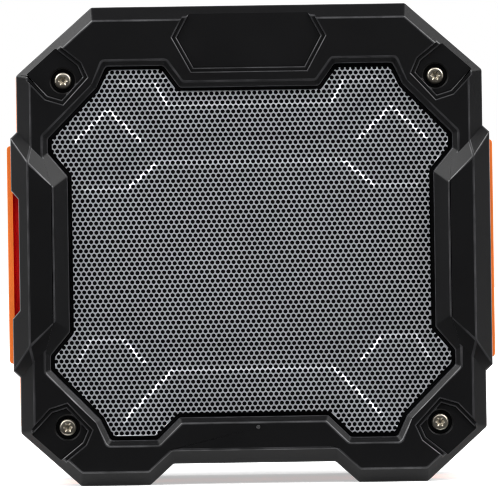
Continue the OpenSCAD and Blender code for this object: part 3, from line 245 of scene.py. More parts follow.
def effect(name, inputs, outputs):
    """An empty shader group with its sockets."""
    tree = bpy.data.node_groups.new(name, "ShaderNodeTree")
    for label, default in inputs.items():
        socket = tree.interface.new_socket(label, in_out="INPUT", socket_type="NodeSocketFloat")
        socket.default_value = default
    for label in outputs:
        tree.interface.new_socket(label, in_out="OUTPUT", socket_type="NodeSocketFloat")
    start = tree.nodes.new("NodeGroupInput")
    end = tree.nodes.new("NodeGroupOutput")
    return tree, start, end


# Shared surface effects


def make_moulded_grain():
    """Fine spark texture of moulded plastic: pits for the bump and a soft change of tone."""
    tree, start, end = effect("moulded_grain", {"Grain": 0.4 * MM, "Cloud": 18 * MM}, ("Height", "Tone"))
    point = scaled(tree, object_point(tree), calc(tree, "DIVIDE", 1.0, start.outputs["Grain"]))
    pits = add_node(
        tree, "ShaderNodeTexVoronoi", {"feature": "SMOOTH_F1"}, {"Vector": point, "Scale": 1.0}
    )
    dust = add_node(tree, "ShaderNodeTexNoise", None, {"Vector": point, "Scale": 2.3, "Detail": 2.0})
    height = calc(tree, "MULTIPLY_ADD", dust.outputs[0], 0.5, pits.outputs["Distance"])
    tree.links.new(height, end.inputs["Height"])
    tree.links.new(noise(tree, start.outputs["Cloud"], 4.0), end.inputs["Tone"])
    return tree


def make_rubbed_edge():
    """Where rounded edges are rubbed and carry a painted sheen: the edge faces, broken up by noise."""
    tree, start, end = effect("rubbed_edge", {"Patch": 6 * MM, "Amount": 0.6}, ("Mask",))
    edge = add_node(tree, "ShaderNodeAttribute", {"attribute_name": "edge"}).outputs["Fac"]
    spots = noise(tree, start.outputs["Patch"], 5.0)
    inputs = {"Value": spots, "From Min": 0.35, "From Max": 0.65, "To Min": 0.35}
    patch = add_node(tree, "ShaderNodeMapRange", None, inputs).outputs[0]
    wear_and_sheen_mask = calc(tree, "MULTIPLY", edge, calc(tree, "MULTIPLY", patch, start.outputs["Amount"]))
    tree.links.new(wear_and_sheen_mask, end.inputs["Mask"])
    return tree


def make_smudges():
    """Faint handling marks that change the gloss."""
    tree, start, end = effect("smudges", {"Size": 25 * MM, "Low": 0.4, "High": 0.5}, ("Roughness",))
    marks = noise(tree, start.outputs["Size"], 6.0, 0.6)
    rough = between(tree, marks, start.outputs["Low"], start.outputs["High"])
    tree.links.new(rough, end.inputs["Roughness"])
    return tree


def make_weave():
    """Plain weave in the XZ plane: thread crowns for the bump."""
    tree, start, end = effect("weave", {"Thread": 0.3 * MM}, ("Height",))
    point = scaled(tree, object_point(tree), calc(tree, "DIVIDE", math.pi, start.outputs["Thread"]))
    axes = add_node(tree, "ShaderNodeSeparateXYZ", None, {0: point})
    across = calc(tree, "SINE", axes.outputs["X"])
    along = calc(tree, "SINE", axes.outputs["Z"])
    crowns = calc(tree, "ABSOLUTE", calc(tree, "MULTIPLY", across, along))
    tree.links.new(crowns, end.inputs["Height"])
    return tree


EFFECTS = {
    "moulded_grain": make_moulded_grain,
    "rubbed_edge": make_rubbed_edge,
    "smudges": make_smudges,
    "weave": make_weave,
}


def use_effect(tree, name, **inputs):
    """Places a shared effect in a material with its own values."""
    group = bpy.data.node_groups.get(name) or EFFECTS[name]()
    node = add_node(tree, "ShaderNodeGroup", {"node_tree": group})
    for label, value in inputs.items():
        node.inputs[label].default_value = value
    return node


# Finishes


def new_finish(name="new_finish", **plain):
    """A material with its shader, whose plain values are set on the shader's own sockets."""
    material = bpy.data.materials.new(name)
    material.use_nodes = True
    tree = material.node_tree
    shader = tree.nodes["Principled BSDF"]
    for label, value in plain.items():
        shader.inputs[label.replace("_", " ")].default_value = value
    return material, tree, shader


def feed(tree, shader, **sources):
    """Links what changes over the surface to the shader's sockets."""
    for label, source in sources.items():
        tree.links.new(source, shader.inputs[label.replace("_", " ")])


def bump(tree, shader, height, depth):
    """Feeds a height into the shader's normal."""
    node = add_node(tree, "ShaderNodeBump", None, {"Strength": 1.0, "Distance": depth, "Height": height})
    feed(tree, shader, Normal=node.outputs[0])


def picked(colour):
    """A colour of the settings by its name, or a colour given as it is."""
    return getattr(bpy.context.scene.speaker_colours, colour) if isinstance(colour, str) else colour


def toned(tree, colour, tone, low, high):
    """A colour that darkens and lightens with a tone."""
    return scaled(tree, picked(colour), between(tree, tone, low, high))


def moulded(colour, wear_and_sheen, roughness, grain=0.4 * MM, depth=0.008 * MM, level=0.3):
    """Moulded plastic or rubber with fine grain, faint smudges, and rounded edges painted lighter, partly as
    wear and partly as painted sheen.
    """
    material, tree, shader = new_finish(Specular_IOR_Level=level, Coat_Roughness=0.2)
    texture = use_effect(tree, "moulded_grain", Grain=grain).outputs
    wear_and_sheen_mask = use_effect(tree, "rubbed_edge").outputs["Mask"]
    gloss = use_effect(tree, "smudges", Low=roughness - 0.05, High=roughness + 0.07).outputs["Roughness"]
    ground = toned(tree, colour, texture["Tone"], 0.8, 1.2)
    # Edges blend to a lighter colour, partly wear and partly painted sheen
    feed(
        tree, shader, Base_Color=blend_colour(tree, wear_and_sheen_mask, ground, picked(wear_and_sheen)),
        Roughness=calc(tree, "MULTIPLY_ADD", wear_and_sheen_mask, -0.08, gloss), Coat_Weight=wear_and_sheen_mask,
    )
    bump(tree, shader, texture["Height"], depth)
    return material


def make_grille_steel():
    """Satin grey paint with a fine metal fleck."""
    material, tree, shader = new_finish(Metallic=0.55)
    texture = use_effect(tree, "moulded_grain", Grain=0.18 * MM, Cloud=30 * MM).outputs
    gloss = use_effect(tree, "smudges", Low=0.3, High=0.42, Size=40 * MM).outputs["Roughness"]
    ground = toned(tree, "grille_paint", texture["Tone"], 0.9, 1.1)
    feed(tree, shader, Base_Color=ground, Roughness=gloss)
    bump(tree, shader, texture["Height"], 0.006 * MM)
    return material


def woven(colour, thread, roughness=0.9):
    """Woven cloth."""
    material, tree, shader = new_finish(Roughness=roughness, Specular_IOR_Level=0.2)
    height = use_effect(tree, "weave", Thread=thread).outputs["Height"]
    feed(tree, shader, Base_Color=toned(tree, colour, height, 0.6, 1.2))
    bump(tree, shader, height, 0.06 * MM)
    return material


def metal(colour, roughness):
    """Plated or plain metal with a fine grain and faint smudges."""
    material, tree, shader = new_finish(Metallic=1.0)
    texture = use_effect(tree, "moulded_grain", Grain=0.3 * MM, Cloud=6 * MM).outputs
    gloss = use_effect(tree, "smudges", Low=roughness - 0.08, High=roughness + 0.1, Size=5 * MM)
    ground = toned(tree, colour, texture["Tone"], 0.8, 1.15)
    feed(tree, shader, Base_Color=ground, Roughness=gloss.outputs["Roughness"])
    bump(tree, shader, texture["Height"], 0.004 * MM)
    return material


def make_copper():
    """Close turns of lacquered wire."""
    material, tree, shader = new_finish(Metallic=1.0, Coat_Weight=0.4)
    turns = add_node(
        tree, "ShaderNodeTexWave", {"bands_direction": "Y"},
        {"Vector": object_point(tree), "Scale": 1 / (2 * math.pi * 0.1 * MM) / 3},
    )
    tone = use_effect(tree, "moulded_grain", Grain=0.3 * MM, Cloud=4 * MM).outputs["Tone"]
    ground = toned(tree, srgb(196, 124, 70), tone, 0.8, 1.15)
    feed(tree, shader, Base_Color=ground, Roughness=between(tree, tone, 0.28, 0.4))
    bump(tree, shader, turns.outputs["Fac"], 0.05 * MM)
    return material


def laminate(mask_colour, track_colour):
    """Circuit board: solder mask over a net of tracks."""
    material, tree, shader = new_finish()
    tracks = add_node(
        tree, "ShaderNodeTexVoronoi", {"feature": "DISTANCE_TO_EDGE", "distance": "EUCLIDEAN"},
        {"Vector": object_point(tree), "Scale": 1 / (3.2 * MM), "Randomness": 0.55},
    )
    distance = tracks.outputs["Distance"]
    inputs = {"Value": distance, "From Min": 0.05, "From Max": 0.09, "To Min": 1.0, "To Max": 0.0}
    line = add_node(tree, "ShaderNodeMapRange", None, inputs).outputs[0]
    tone = use_effect(tree, "moulded_grain", Grain=0.5 * MM, Cloud=9 * MM).outputs["Tone"]
    ground = toned(tree, mask_colour, tone, 0.85, 1.15)
    feed(
        tree, shader, Base_Color=blend_colour(tree, line, ground, track_colour),
        Roughness=between(tree, tone, 0.28, 0.45),
    )
    bump(tree, shader, line, 0.03 * MM)
    return material


def make_clear_plastic():
    """Smoked light guide."""
    material, tree, shader = new_finish(Transmission_Weight=0.6)
    tone = use_effect(tree, "moulded_grain", Grain=0.2 * MM, Cloud=2 * MM).outputs["Tone"]
    ground = toned(tree, srgb(86, 86, 87), tone, 0.9, 1.1)
    feed(tree, shader, Base_Color=ground, Roughness=between(tree, tone, 0.15, 0.3))
    return material


FINISHES = {
    "black_plastic": partial(moulded, "black_plastic", "black_wear_and_sheen", 0.36, level=0.17),
    "orange_plastic": partial(moulded, "orange_plastic", "orange_wear_and_sheen", 0.42, level=0.4),
    # Painted shade inside the slot behind the left rail
    "slot_paint": partial(moulded, "slot_shade_red", "slot_shade_red", 0.5, level=0.2),
    "grille_steel": make_grille_steel,
    # Painted shade: the sheet's folded rim, in the gap under the frame's lip
    "rim_paint": partial(moulded, "cloth", "cloth", 0.85, level=0.05),
    "black_cloth": partial(woven, "cloth", 0.3 * MM),
    "bright_steel": partial(metal, "steel", 0.33),
    "dark_steel": partial(metal, srgb(150, 151, 154), 0.4),
    "black_rubber": partial(moulded, "rubber", "black_wear_and_sheen", 0.62, grain=0.25 * MM),
    "foam": partial(moulded, srgb(52, 52, 54), srgb(60, 60, 62), 0.85, grain=0.9 * MM, depth=0.12 * MM),
    "paper": partial(moulded, srgb(48, 48, 51), srgb(70, 70, 72), 0.7, grain=0.7 * MM, depth=0.05 * MM),
    "spider_cloth": partial(woven, srgb(190, 160, 105), 0.5 * MM, 0.75),
    "copper": make_copper,
    "ferrite": partial(moulded, srgb(62, 62, 65), srgb(92, 92, 95), 0.5, grain=0.3 * MM),
    "board": partial(laminate, srgb(26, 92, 52), srgb(52, 128, 74)),
    "brown_board": partial(laminate, srgb(140, 104, 66), srgb(170, 140, 96)),
    "cell_wrap": partial(
        moulded, srgb(58, 112, 172), srgb(90, 140, 190), 0.3, grain=2 * MM, depth=0.03 * MM
    ),
    "clear_plastic": make_clear_plastic,
    "wire_jacket": partial(moulded, srgb(168, 40, 36), srgb(190, 80, 76), 0.4, grain=1.2 * MM),
    "mark_paint": partial(moulded, "mark", "mark", 0.6, grain=0.2 * MM),
}


def finish_named(name):
    """The material of that name, made the first time it is asked for."""
    found = bpy.data.materials.get("finish_" + name)
    if found:
        return found
    material = FINISHES[name]()
    material.name = "finish_" + name
    return material


# Mesh helpers


def joined_shape(node):
    """A CAD node's triangles as one closed mesh, with its flat faces joined."""
    shape = bmesh.new()
    shape.from_mesh(frame["nodes"][node].data)
    bmesh.ops.remove_doubles(shape, verts=shape.verts, dist=MERGE)
    bmesh.ops.dissolve_limit(shape, angle_limit=FLAT_ANGLE, verts=shape.verts, edges=shape.edges)
    return shape


def soften(shape, width, least_angle, keep=None):
    """Rounds and marks the outward edges that turn more than least_angle, and keeps the others sharp."""
    edge_mark = shape.faces.layers.float.new("edge")
    turning = [e for e in shape.edges if e.calc_face_angle(0) > least_angle]
    rounded = [e for e in turning if e.is_convex and (keep is None or keep(e))]
    for edge in turning:
        edge.smooth = False
    for edge in rounded:
        edge.smooth = True
    made = bmesh.ops.bevel(
        shape, geom=rounded, offset=width, offset_type="OFFSET", segments=2, profile=0.6,
        affect="EDGES", clamp_overlap=False, loop_slide=True,
    )
    for face in made["faces"]:
        face[edge_mark] = 1.0
    for face in shape.faces:
        face.smooth = True


def new_object(name, data):
    """A new object in the scene."""
    made = bpy.data.objects.new(name, data)
    bpy.context.scene.collection.objects.link(made)
    return made


def piece_from(shape, name):
    """A new object that holds a finished shape."""
    mesh = bpy.data.meshes.new(name)
    shape.to_mesh(mesh)
    shape.free()
    return new_object(name, mesh)


def shade(piece, angle=SMOOTH_ANGLE):
    """Smooth faces with sharp corners kept."""
    mesh = piece.data
    mesh.polygons.foreach_set("use_smooth", [True] * len(mesh.polygons))
    mesh.set_sharp_from_angle(angle=angle)


def settle(piece):
    """Turns the piece's modifiers into a plain mesh."""
    view = bpy.context.evaluated_depsgraph_get()
    view.update()
    mesh = bpy.data.meshes.new_from_object(piece.evaluated_get(view), depsgraph=view)
    mesh.name = piece.name
    old = piece.data
    piece.modifiers.clear()
    piece.data = mesh
    bpy.data.meshes.remove(old)


def even_normals(piece):
    """Lets flat faces keep their own direction, with the rounded edges running from one to the next."""
    mesh = piece.data
    on_edge = [mark.value > 0.5 for mark in mesh.attributes["edge"].data]
    around = [[] for _ in mesh.vertices]
    for face in mesh.polygons:
        for index in face.vertices:
            around[index].append(face)
    normals = [None] * len(mesh.loops)
    for face in mesh.polygons:
        for loop in face.loop_indices:
            near = around[mesh.loops[loop].vertex_index]
            flat = [other for other in near if not on_edge[other.index]]
            normals[loop] = corner_normal(face, near, flat, on_edge[face.index])
    mesh.normals_split_custom_set(normals)


def corner_normal(face, near, flat, is_edge):
    """The direction of one corner of a face, from the faces round the corner's point."""
    leader = face
    if is_edge:
        leader = max(flat, key=lambda other: other.normal.dot(face.normal), default=face)
        if leader.normal.dot(face.normal) < EDGE_TURN:
            leader = face
    alike = flat if leader in flat else near
    least = CURVE_TURN if leader in flat else EDGE_TURN
    total = Vector()
    for other in alike:
        if other.normal.dot(leader.normal) > least:
            total += other.normal * other.area
    return total.normalized()


def dress(piece, node, finish=None):
    """Gives a piece its finish and puts it on its node's body in place of the node."""
    if finish or not piece.data.materials:
        piece.data.materials.clear()
        piece.data.materials.append(finish_named(finish or slot_of[node]))
    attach(piece, body_of[node])
    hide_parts(node)


def paint_nodes(*nodes):
    """Gives CAD nodes that keep their own shape their finish."""
    for node in nodes:
        mesh = frame["nodes"][node].data
        mesh.materials.clear()
        mesh.materials.append(finish_named(slot_of[node]))


def softened_copy(node, width, least_angle=math.radians(18), keep=None):
    """A copy of a CAD node with rounded edges, in the node's place."""
    shape = joined_shape(node)
    soften(shape, width, least_angle, keep)
    piece = piece_from(shape, node + "_finished")
    even_normals(piece)
    dress(piece, node)
    return piece


def odd_count(spaces):
    """An odd number of points that covers at least that many spaces on both sides of a middle one."""
    return 2 * (int(spaces / 2) + 2) + 1


# Geometry node trees


def new_nodes_tree(name, inputs):
    """A geometry tree with named inputs, and the identifiers to set them by."""
    tree = bpy.data.node_groups.new(name, "GeometryNodeTree")
    tree.is_modifier = True
    tree.interface.new_socket("Geometry", in_out="INPUT", socket_type="NodeSocketGeometry")
    tree.interface.new_socket("Geometry", in_out="OUTPUT", socket_type="NodeSocketGeometry")
    names = {}
    for label, kind in inputs.items():
        socket = tree.interface.new_socket(label, in_out="INPUT", socket_type="NodeSocket" + kind)
        names[label] = socket.identifier
    return tree, tree.nodes.new("NodeGroupInput"), tree.nodes.new("NodeGroupOutput"), names


def run_tree(piece, tree, names, values):
    """Runs a geometry tree on a piece and keeps the result as its mesh."""
    modifier = piece.modifiers.new(tree.name, "NODES")
    modifier.node_group = tree
    for label, value in values.items():
        modifier[names[label]] = value
    settle(piece)


def end_tree(tree, geometry, start, end):
    """Ends a tree in plain geometry with its material."""
    real = add_node(tree, "GeometryNodeRealizeInstances", None, {"Geometry": geometry})
    painted = add_node(
        tree, "GeometryNodeSetMaterial", None,
        {"Geometry": real.outputs[0], "Material": start.outputs["Material"]},
    )
    tree.links.new(painted.outputs[0], end.inputs["Geometry"])


def make_perforation():
    """A staggered lattice of holes cut through the sheet wherever a hole touches its raised field."""
    tree, start, end, names = new_nodes_tree("perforation", {
        "Pitch": "Float", "Row gap": "Float", "Radius": "Float", "Sides": "Int", "Columns": "Int",
        "Rows": "Int", "Turn": "Float", "Middle": "Vector", "Depth": "Float", "Front": "Float",
        "Field": "Float", "Over": "Float", "Material": "Material",
    })
    value = start.outputs
    wide = calc(tree, "MULTIPLY", value["Pitch"], calc(tree, "SUBTRACT", value["Columns"], 1.0))
    high = calc(tree, "MULTIPLY", value["Row gap"], calc(tree, "SUBTRACT", value["Rows"], 1.0))
    grid = add_node(
        tree, "GeometryNodeMeshGrid", None,
        {"Size X": wide, "Size Y": high, "Vertices X": value["Columns"], "Vertices Y": value["Rows"]},
    )
    place = add_node(tree, "GeometryNodeInputPosition").outputs[0]
    step = add_node(tree, "ShaderNodeSeparateXYZ", None, {0: place}).outputs
    row = calc(tree, "ROUND", calc(tree, "DIVIDE", step["Y"], value["Row gap"]))
    odd = calc(tree, "FLOORED_MODULO", row, 2.0)
    shift = calc(tree, "MULTIPLY", odd, calc(tree, "MULTIPLY", value["Pitch"], 0.5))
    flat = add_node(
        tree, "ShaderNodeCombineXYZ", None,
        {"X": calc(tree, "ADD", step["X"], shift), "Y": value["Front"], "Z": step["Y"]},
    )
    turned = add_node(
        tree, "ShaderNodeVectorRotate", {"rotation_type": "Y_AXIS"},
        {"Vector": flat.outputs[0], "Angle": calc(tree, "MULTIPLY", value["Turn"], -1.0)},
    )
    placed = vector_calc(tree, "ADD", turned.outputs[0], value["Middle"])
    moved = add_node(
        tree, "GeometryNodeSetPosition", None, {"Geometry": grid.outputs["Mesh"], "Position": placed}
    )
    inwards = add_node(
        tree, "ShaderNodeVectorMath", {"operation": "NORMALIZE"},
        {0: vector_calc(tree, "MULTIPLY", vector_calc(tree, "SUBTRACT", value["Middle"], place), (1, 0, 1))},
    )
    source = vector_calc(tree, "ADD", place, scaled(tree, inwards.outputs[0], value["Over"]))
    hit = add_node(
        tree, "GeometryNodeRaycast", None,
        {"Target Geometry": value["Geometry"], "Source Position": source, "Ray Direction": (0, 1, 0)},
    )
    depth = add_node(tree, "ShaderNodeSeparateXYZ", None, {0: hit.outputs["Hit Position"]}).outputs["Y"]
    lands = calc(tree, "MULTIPLY", hit.outputs["Is Hit"], calc(tree, "LESS_THAN", depth, value["Field"]))
    kept = add_node(
        tree, "GeometryNodeDeleteGeometry", {"domain": "POINT"},
        {"Geometry": moved.outputs[0], "Selection": calc(tree, "LESS_THAN", lands, 0.5)},
    )
    cutter = add_node(
        tree, "GeometryNodeMeshCylinder", None,
        {"Vertices": value["Sides"], "Radius": value["Radius"], "Depth": value["Depth"]},
    )
    cutters = add_node(
        tree, "GeometryNodeInstanceOnPoints", None,
        {"Points": kept.outputs[0], "Instance": cutter.outputs["Mesh"], "Rotation": (math.pi / 2, 0, 0)},
    )
    tool = add_node(tree, "GeometryNodeRealizeInstances", None, {"Geometry": cutters.outputs[0]})
    holed = add_node(
        tree, "GeometryNodeMeshBoolean", {"operation": "DIFFERENCE", "solver": "MANIFOLD"},
        {"Mesh 1": value["Geometry"], "Mesh 2": tool.outputs[0]},
    )
    end_tree(tree, holed.outputs["Mesh"], start, end)
    return tree, names


def make_copies():
    """Copies of one shape on points, each turned from +Z to the point's own aim."""
    tree, start, end, names = new_nodes_tree("copies_on_points", {"Shape": "Object", "Material": "Material"})
    shape = add_node(tree, "GeometryNodeObjectInfo", None, {"Object": start.outputs["Shape"]})
    aim = add_node(
        tree, "GeometryNodeInputNamedAttribute", {"data_type": "FLOAT_VECTOR"}, {"Name": "aim"}
    )
    turned = add_node(
        tree, "FunctionNodeAlignRotationToVector", {"axis": "Z"}, {"Vector": aim.outputs["Attribute"]}
    )
    copies = add_node(
        tree, "GeometryNodeInstanceOnPoints", None,
        {"Points": start.outputs["Geometry"], "Instance": shape.outputs["Geometry"],
         "Rotation": turned.outputs[0]},
    )
    end_tree(tree, copies.outputs[0], start, end)
    return tree, names


def copies_of(shape, places, aim, name, finish):
    """One piece made of a shape's copies at places, all turned to one aim."""
    source = piece_from(shape, name + "_shape")
    shade(source)
    mesh = bpy.data.meshes.new(name)
    mesh.from_pydata(places, [], [])
    mesh.attributes.new("aim", "FLOAT_VECTOR", "POINT").data.foreach_set("vector", list(aim) * len(places))
    piece = new_object(name, mesh)
    tree, names = make_copies()
    run_tree(piece, tree, names, {"Shape": source, "Material": finish_named(finish)})
    bpy.data.objects.remove(source)
    return piece


# Shapes


def turned_shape(profile, sides):
    """A closed shape turned about Z from (radius, height) points that start and end on the axis."""
    shape = bmesh.new()
    rings = []
    for radius, height in profile:
        if radius == 0:
            rings.append([shape.verts.new((0, 0, height))])
            continue
        angles = [2 * math.pi * i / sides for i in range(sides)]
        rings.append([shape.verts.new((radius * math.cos(a), radius * math.sin(a), height)) for a in angles])
    for low, high in zip(rings, rings[1:]):
        for i in range(sides):
            j = (i + 1) % sides
            corners = [low[i % len(low)], low[j % len(low)], high[j % len(high)], high[i % len(high)]]
            shape.faces.new(list(dict.fromkeys(corners)))
    bmesh.ops.recalc_face_normals(shape, faces=shape.faces)
    return shape


def prism(shape, outline, low, high, taper=1.0):
    """Adds an upright prism on a flat outline of (x, y) points to a shape, its lower end scaled by taper."""
    bottom = [shape.verts.new((x * taper, y * taper, low)) for x, y in outline]
    top = [shape.verts.new((x, y, high)) for x, y in outline]
    count = len(outline)
    faces = [shape.faces.new(top), shape.faces.new(bottom[::-1])]
    for i in range(count):
        j = (i + 1) % count
        faces.append(shape.faces.new((bottom[i], bottom[j], top[j], top[i])))
    bmesh.ops.recalc_face_normals(shape, faces=faces)


def lobed_outline(outer, inner, lobes, steps=4):
    """A round star with soft lobes."""
    count = lobes * steps * 2
    points = []
    for i in range(count):
        angle = 2 * math.pi * i / count
        radius = (outer + inner) / 2 + (outer - inner) / 2 * math.cos(lobes * angle)
        points.append((radius * math.cos(angle), radius * math.sin(angle)))
    return points


def screw_shape(head_r, head_h, shank_r, shank_l):
    """Pan head screw along Z with its seat at zero and a threaded shank."""
    rim = head_r * 0.28
    turns = [math.radians(angle) for angle in (0, 18, 36, 54, 72, 90)]
    dome = [(0, head_h)] + [
        (head_r - rim + rim * math.sin(a), head_h - rim + rim * math.cos(a)) for a in turns
    ]
    thread = []
    pitch = shank_r * 0.7
    for i in range(int(shank_l * 0.8 / pitch)):
        base = -shank_l * 0.12 - i * pitch
        thread += [(shank_r * 0.8, base), (shank_r, base - pitch * 0.4), (shank_r, base - pitch * 0.6)]
    tip = -shank_l
    profile = dome + [(head_r, 0), (shank_r, 0), (shank_r, -shank_l * 0.08)] + thread
    profile += [(shank_r * 0.7, tip + shank_r * 0.3), (shank_r * 0.5, tip), (0, tip)]
    return turned_shape(profile, 28)


def socket_cut(screw, radius, low, high):
    """Cuts a six-lobed, dished socket into a screw's head."""
    cutter_shape = bmesh.new()
    prism(cutter_shape, lobed_outline(radius, radius * 0.72, 6), low, high, 0.3)
    cutter = piece_from(cutter_shape, "socket_cutter")
    body = piece_from(screw, "screw_blank")
    cut = body.modifiers.new("socket", "BOOLEAN")
    cut.object = cutter
    cut.operation = "DIFFERENCE"
    cut.solver = "MANIFOLD"
    settle(body)
    result = bmesh.new()
    result.from_mesh(body.data)
    for helper in (cutter, body):
        bpy.data.objects.remove(helper)
    return result


def island_boxes(node):
    """The lowest and highest corner of each separate solid in a CAD node."""
    shape = joined_shape(node)
    left = set(shape.verts)
    boxes = []
    while left:
        todo = [left.pop()]
        found = list(todo)
        while todo:
            for edge in todo.pop().link_edges:
                for vert in edge.verts:
                    if vert in left:
                        left.remove(vert)
                        todo.append(vert)
                        found.append(vert)
        axes = [[v.co[k] for v in found] for k in range(3)]
        boxes.append((Vector([min(a) for a in axes]), Vector([max(a) for a in axes])))
    shape.free()
    return boxes


# Operators

# Each softbox's direction from the speaker's middle and its width in metres
SOFTBOXES = (((-0.71, -0.25, 0.66), 1.5), ((0.68, -0.35, 0.645), 1.1))
SOFTBOX_REACH = 1.3
SOFTBOX_H = 1.0
FILL_AIM = (0, -0.77, 0.64)
FILL_REACH = 1.6
FILL_SIZE = (1.0, 0.7)
FLOOR_R = 6.0
FLOOR_GREY = (0.78, 0.78, 0.78, 1)
FLAG_BLACK = (0.01, 0.01, 0.01, 1)


class SPEAKER_OT_stage(bpy.types.Operator):
    """Pale floor, room light, two softboxes, a fill, dark flags and the camera"""

    bl_idname = "speaker.stage"
    bl_label = "Stage"

    def execute(self, context):
        studio = context.scene.speaker_studio
        context.scene.view_settings.view_transform = "Standard"
        context.scene.cycles.filter_width = 1.0
        self.light_room(context.scene, studio.room)
        self.lay_floor()
        middle = Vector((0, 0, mid_z))
        for aim, wide in SOFTBOXES:
            place = middle + SOFTBOX_REACH * Vector(aim)
            power = studio.softbox_power * wide
            self.hang_lamp("softbox", place, middle, (wide, SOFTBOX_H), power)
        above = middle + FILL_REACH * Vector(FILL_AIM)
        self.hang_lamp("fill", above, middle, FILL_SIZE, studio.fill_power)
        self.hang_flags()
        self.set_camera(context, studio)
        return {"FINISHED"}

    def seen_ray(self, tree):
        """1 for rays that show the background itself or mirror it."""
        ray = add_node(tree, "ShaderNodeLightPath").outputs
        seen = calc(tree, "MAXIMUM", ray["Is Camera Ray"], ray["Is Glossy Ray"])
        return calc(tree, "MAXIMUM", seen, ray["Is Transmission Ray"])

    def light_room(self, scene, strength):
        world = bpy.data.worlds.new("room")
        world.use_nodes = True
        tree = world.node_tree
        light = between(tree, self.seen_ray(tree), strength, 1.0)
        ground = tree.nodes["Background"]
        ground.inputs["Color"].default_value = (1, 1, 1, 1)
        tree.links.new(light, ground.inputs["Strength"])
        scene.world = world

    def lay_floor(self):
        material, tree, shader = new_finish(
            "floor_paper", Roughness=0.9, Base_Color=FLOOR_GREY, Specular_IOR_Level=0.0,
            Emission_Strength=1.0,
        )
        far = add_node(
            tree, "ShaderNodeVectorMath", {"operation": "LENGTH"}, {0: object_point(tree)}
        ).outputs["Value"]
        inputs = {"Value": far, "From Min": 0.3, "From Max": 1.5, "To Min": 0.45, "To Max": 1.0}
        glow = add_node(tree, "ShaderNodeMapRange", {"interpolation_type": "SMOOTHSTEP"}, inputs).outputs[0]
        seen = calc(tree, "MULTIPLY", self.seen_ray(tree), glow)
        feed(tree, shader, Emission_Color=blend_colour(tree, seen, (0, 0, 0), (1, 1, 1)))
        shape = bmesh.new()
        bmesh.ops.create_circle(shape, cap_ends=True, segments=64, radius=FLOOR_R)
        floor = piece_from(shape, "floor")
        floor.data.materials.append(material)

    def hang_flags(self):
        """Dark boards behind the camera, overhead, below and at both sides, for the bevels to mirror."""
        material, *_ = new_finish("flag_cloth", Roughness=1.0, Base_Color=FLAG_BLACK, Specular_IOR_Level=0.0)
        upright = Matrix.Rotation(math.radians(-90), 4, "X")
        sideways = Matrix.Rotation(math.radians(90), 4, "Y")
        for name, half, place in (
            ("flag_behind", 2.4, Matrix.Translation((0, -1.75, 0.5)) @ upright),
            ("flag_above", 0.9, Matrix.Translation((0, 0, 1.9))),
            ("flag_below", 0.88, Matrix.Translation((0, -0.92, 0.001))),
            ("flag_right", 0.7, Matrix.Translation((1.7, 0, 0.3)) @ sideways),
            ("flag_left", 0.4, Matrix.Translation((-1.7, -0.1, 0.15)) @ sideways),
        ):
            shape = bmesh.new()
            bmesh.ops.create_grid(shape, x_segments=1, y_segments=1, size=half, matrix=place)
            flag = piece_from(shape, name)
            flag.data.materials.append(material)
            flag.visible_camera = False
            flag.visible_diffuse = False
            flag.visible_shadow = False

    def hang_lamp(self, name, place, target, size, power):
        lamp = bpy.data.lights.new(name, "AREA")
        lamp.shape = "RECTANGLE"
        lamp.size, lamp.size_y = size
        lamp.energy = power
        holder = new_object(name, lamp)
        holder.location = place
        holder.rotation_mode = "QUATERNION"
        holder.rotation_quaternion = (target - place).to_track_quat("-Z", "Y")

    def set_camera(self, context, studio):
        data = bpy.data.cameras.new("camera")
        data.sensor_width = SENSOR / MM
        data.lens = SENSOR * studio.distance / (PHOTO_W * studio.pixel) / MM
        camera = new_object("camera", data)
        aim = Vector((studio.aim_x, face_y, studio.aim_z))
        camera.location = aim + Vector((studio.camera_x, -studio.distance, studio.camera_z))
        look = (aim - camera.location).to_track_quat("-Z", "Y")
        camera.rotation_mode = "QUATERNION"
        camera.rotation_quaternion = look @ Quaternion((0, 0, 1), -studio.roll)
        context.scene.camera = camera


# Depths below the frames' face: rims of the screws' recesses, and start and end of the seats inside
RECESS_RIMS = (1.6 * MM, 2 * MM)
SEAT_START = 3.9 * MM
SEAT_END = 19.4 * MM
# Shorter edges aren't rounded
TINY_EDGE = 0.2 * MM


class SPEAKER_OT_frames(bpy.types.Operator):
    """Front and rear frames with rounded edges"""

    bl_idname = "speaker.frames"
    bl_label = "Frames"

    def execute(self, context):
        width = context.scene.speaker_sizes.frame_edge
        softened_copy("front_frame", width, keep=lambda edge: self.shows(edge, -1))
        softened_copy("rear_frame", width, keep=lambda edge: self.shows(edge, 1))
        return {"FINISHED"}

    def shows(self, edge, side):
        """Leaves out tiny edges, the seats inside and the rims of the screws' recesses."""
        depths = [-face_y - side * vert.co.y for vert in edge.verts]
        on_rim = all(min(abs(depth - rim) for rim in RECESS_RIMS) < NEAR / 2 for depth in depths)
        on_seat = max(depths) > SEAT_START and min(depths) < SEAT_END
        return edge.calc_length() > TINY_EDGE and not on_rim and not on_seat


# Edges of the sheet that turn more than this are creases
CREASE_TURN = math.radians(12)
# Length of the tools that cut the holes
CUTTER_L = 5.2 * MM
# Distance in front of the sheet where the holes are laid out
LAYOUT_LEAD = 1 * MM
# Depth below the sheet where its folded rim begins, which is painted matt black as painted shade
RIM_DROP = 0.5 * MM


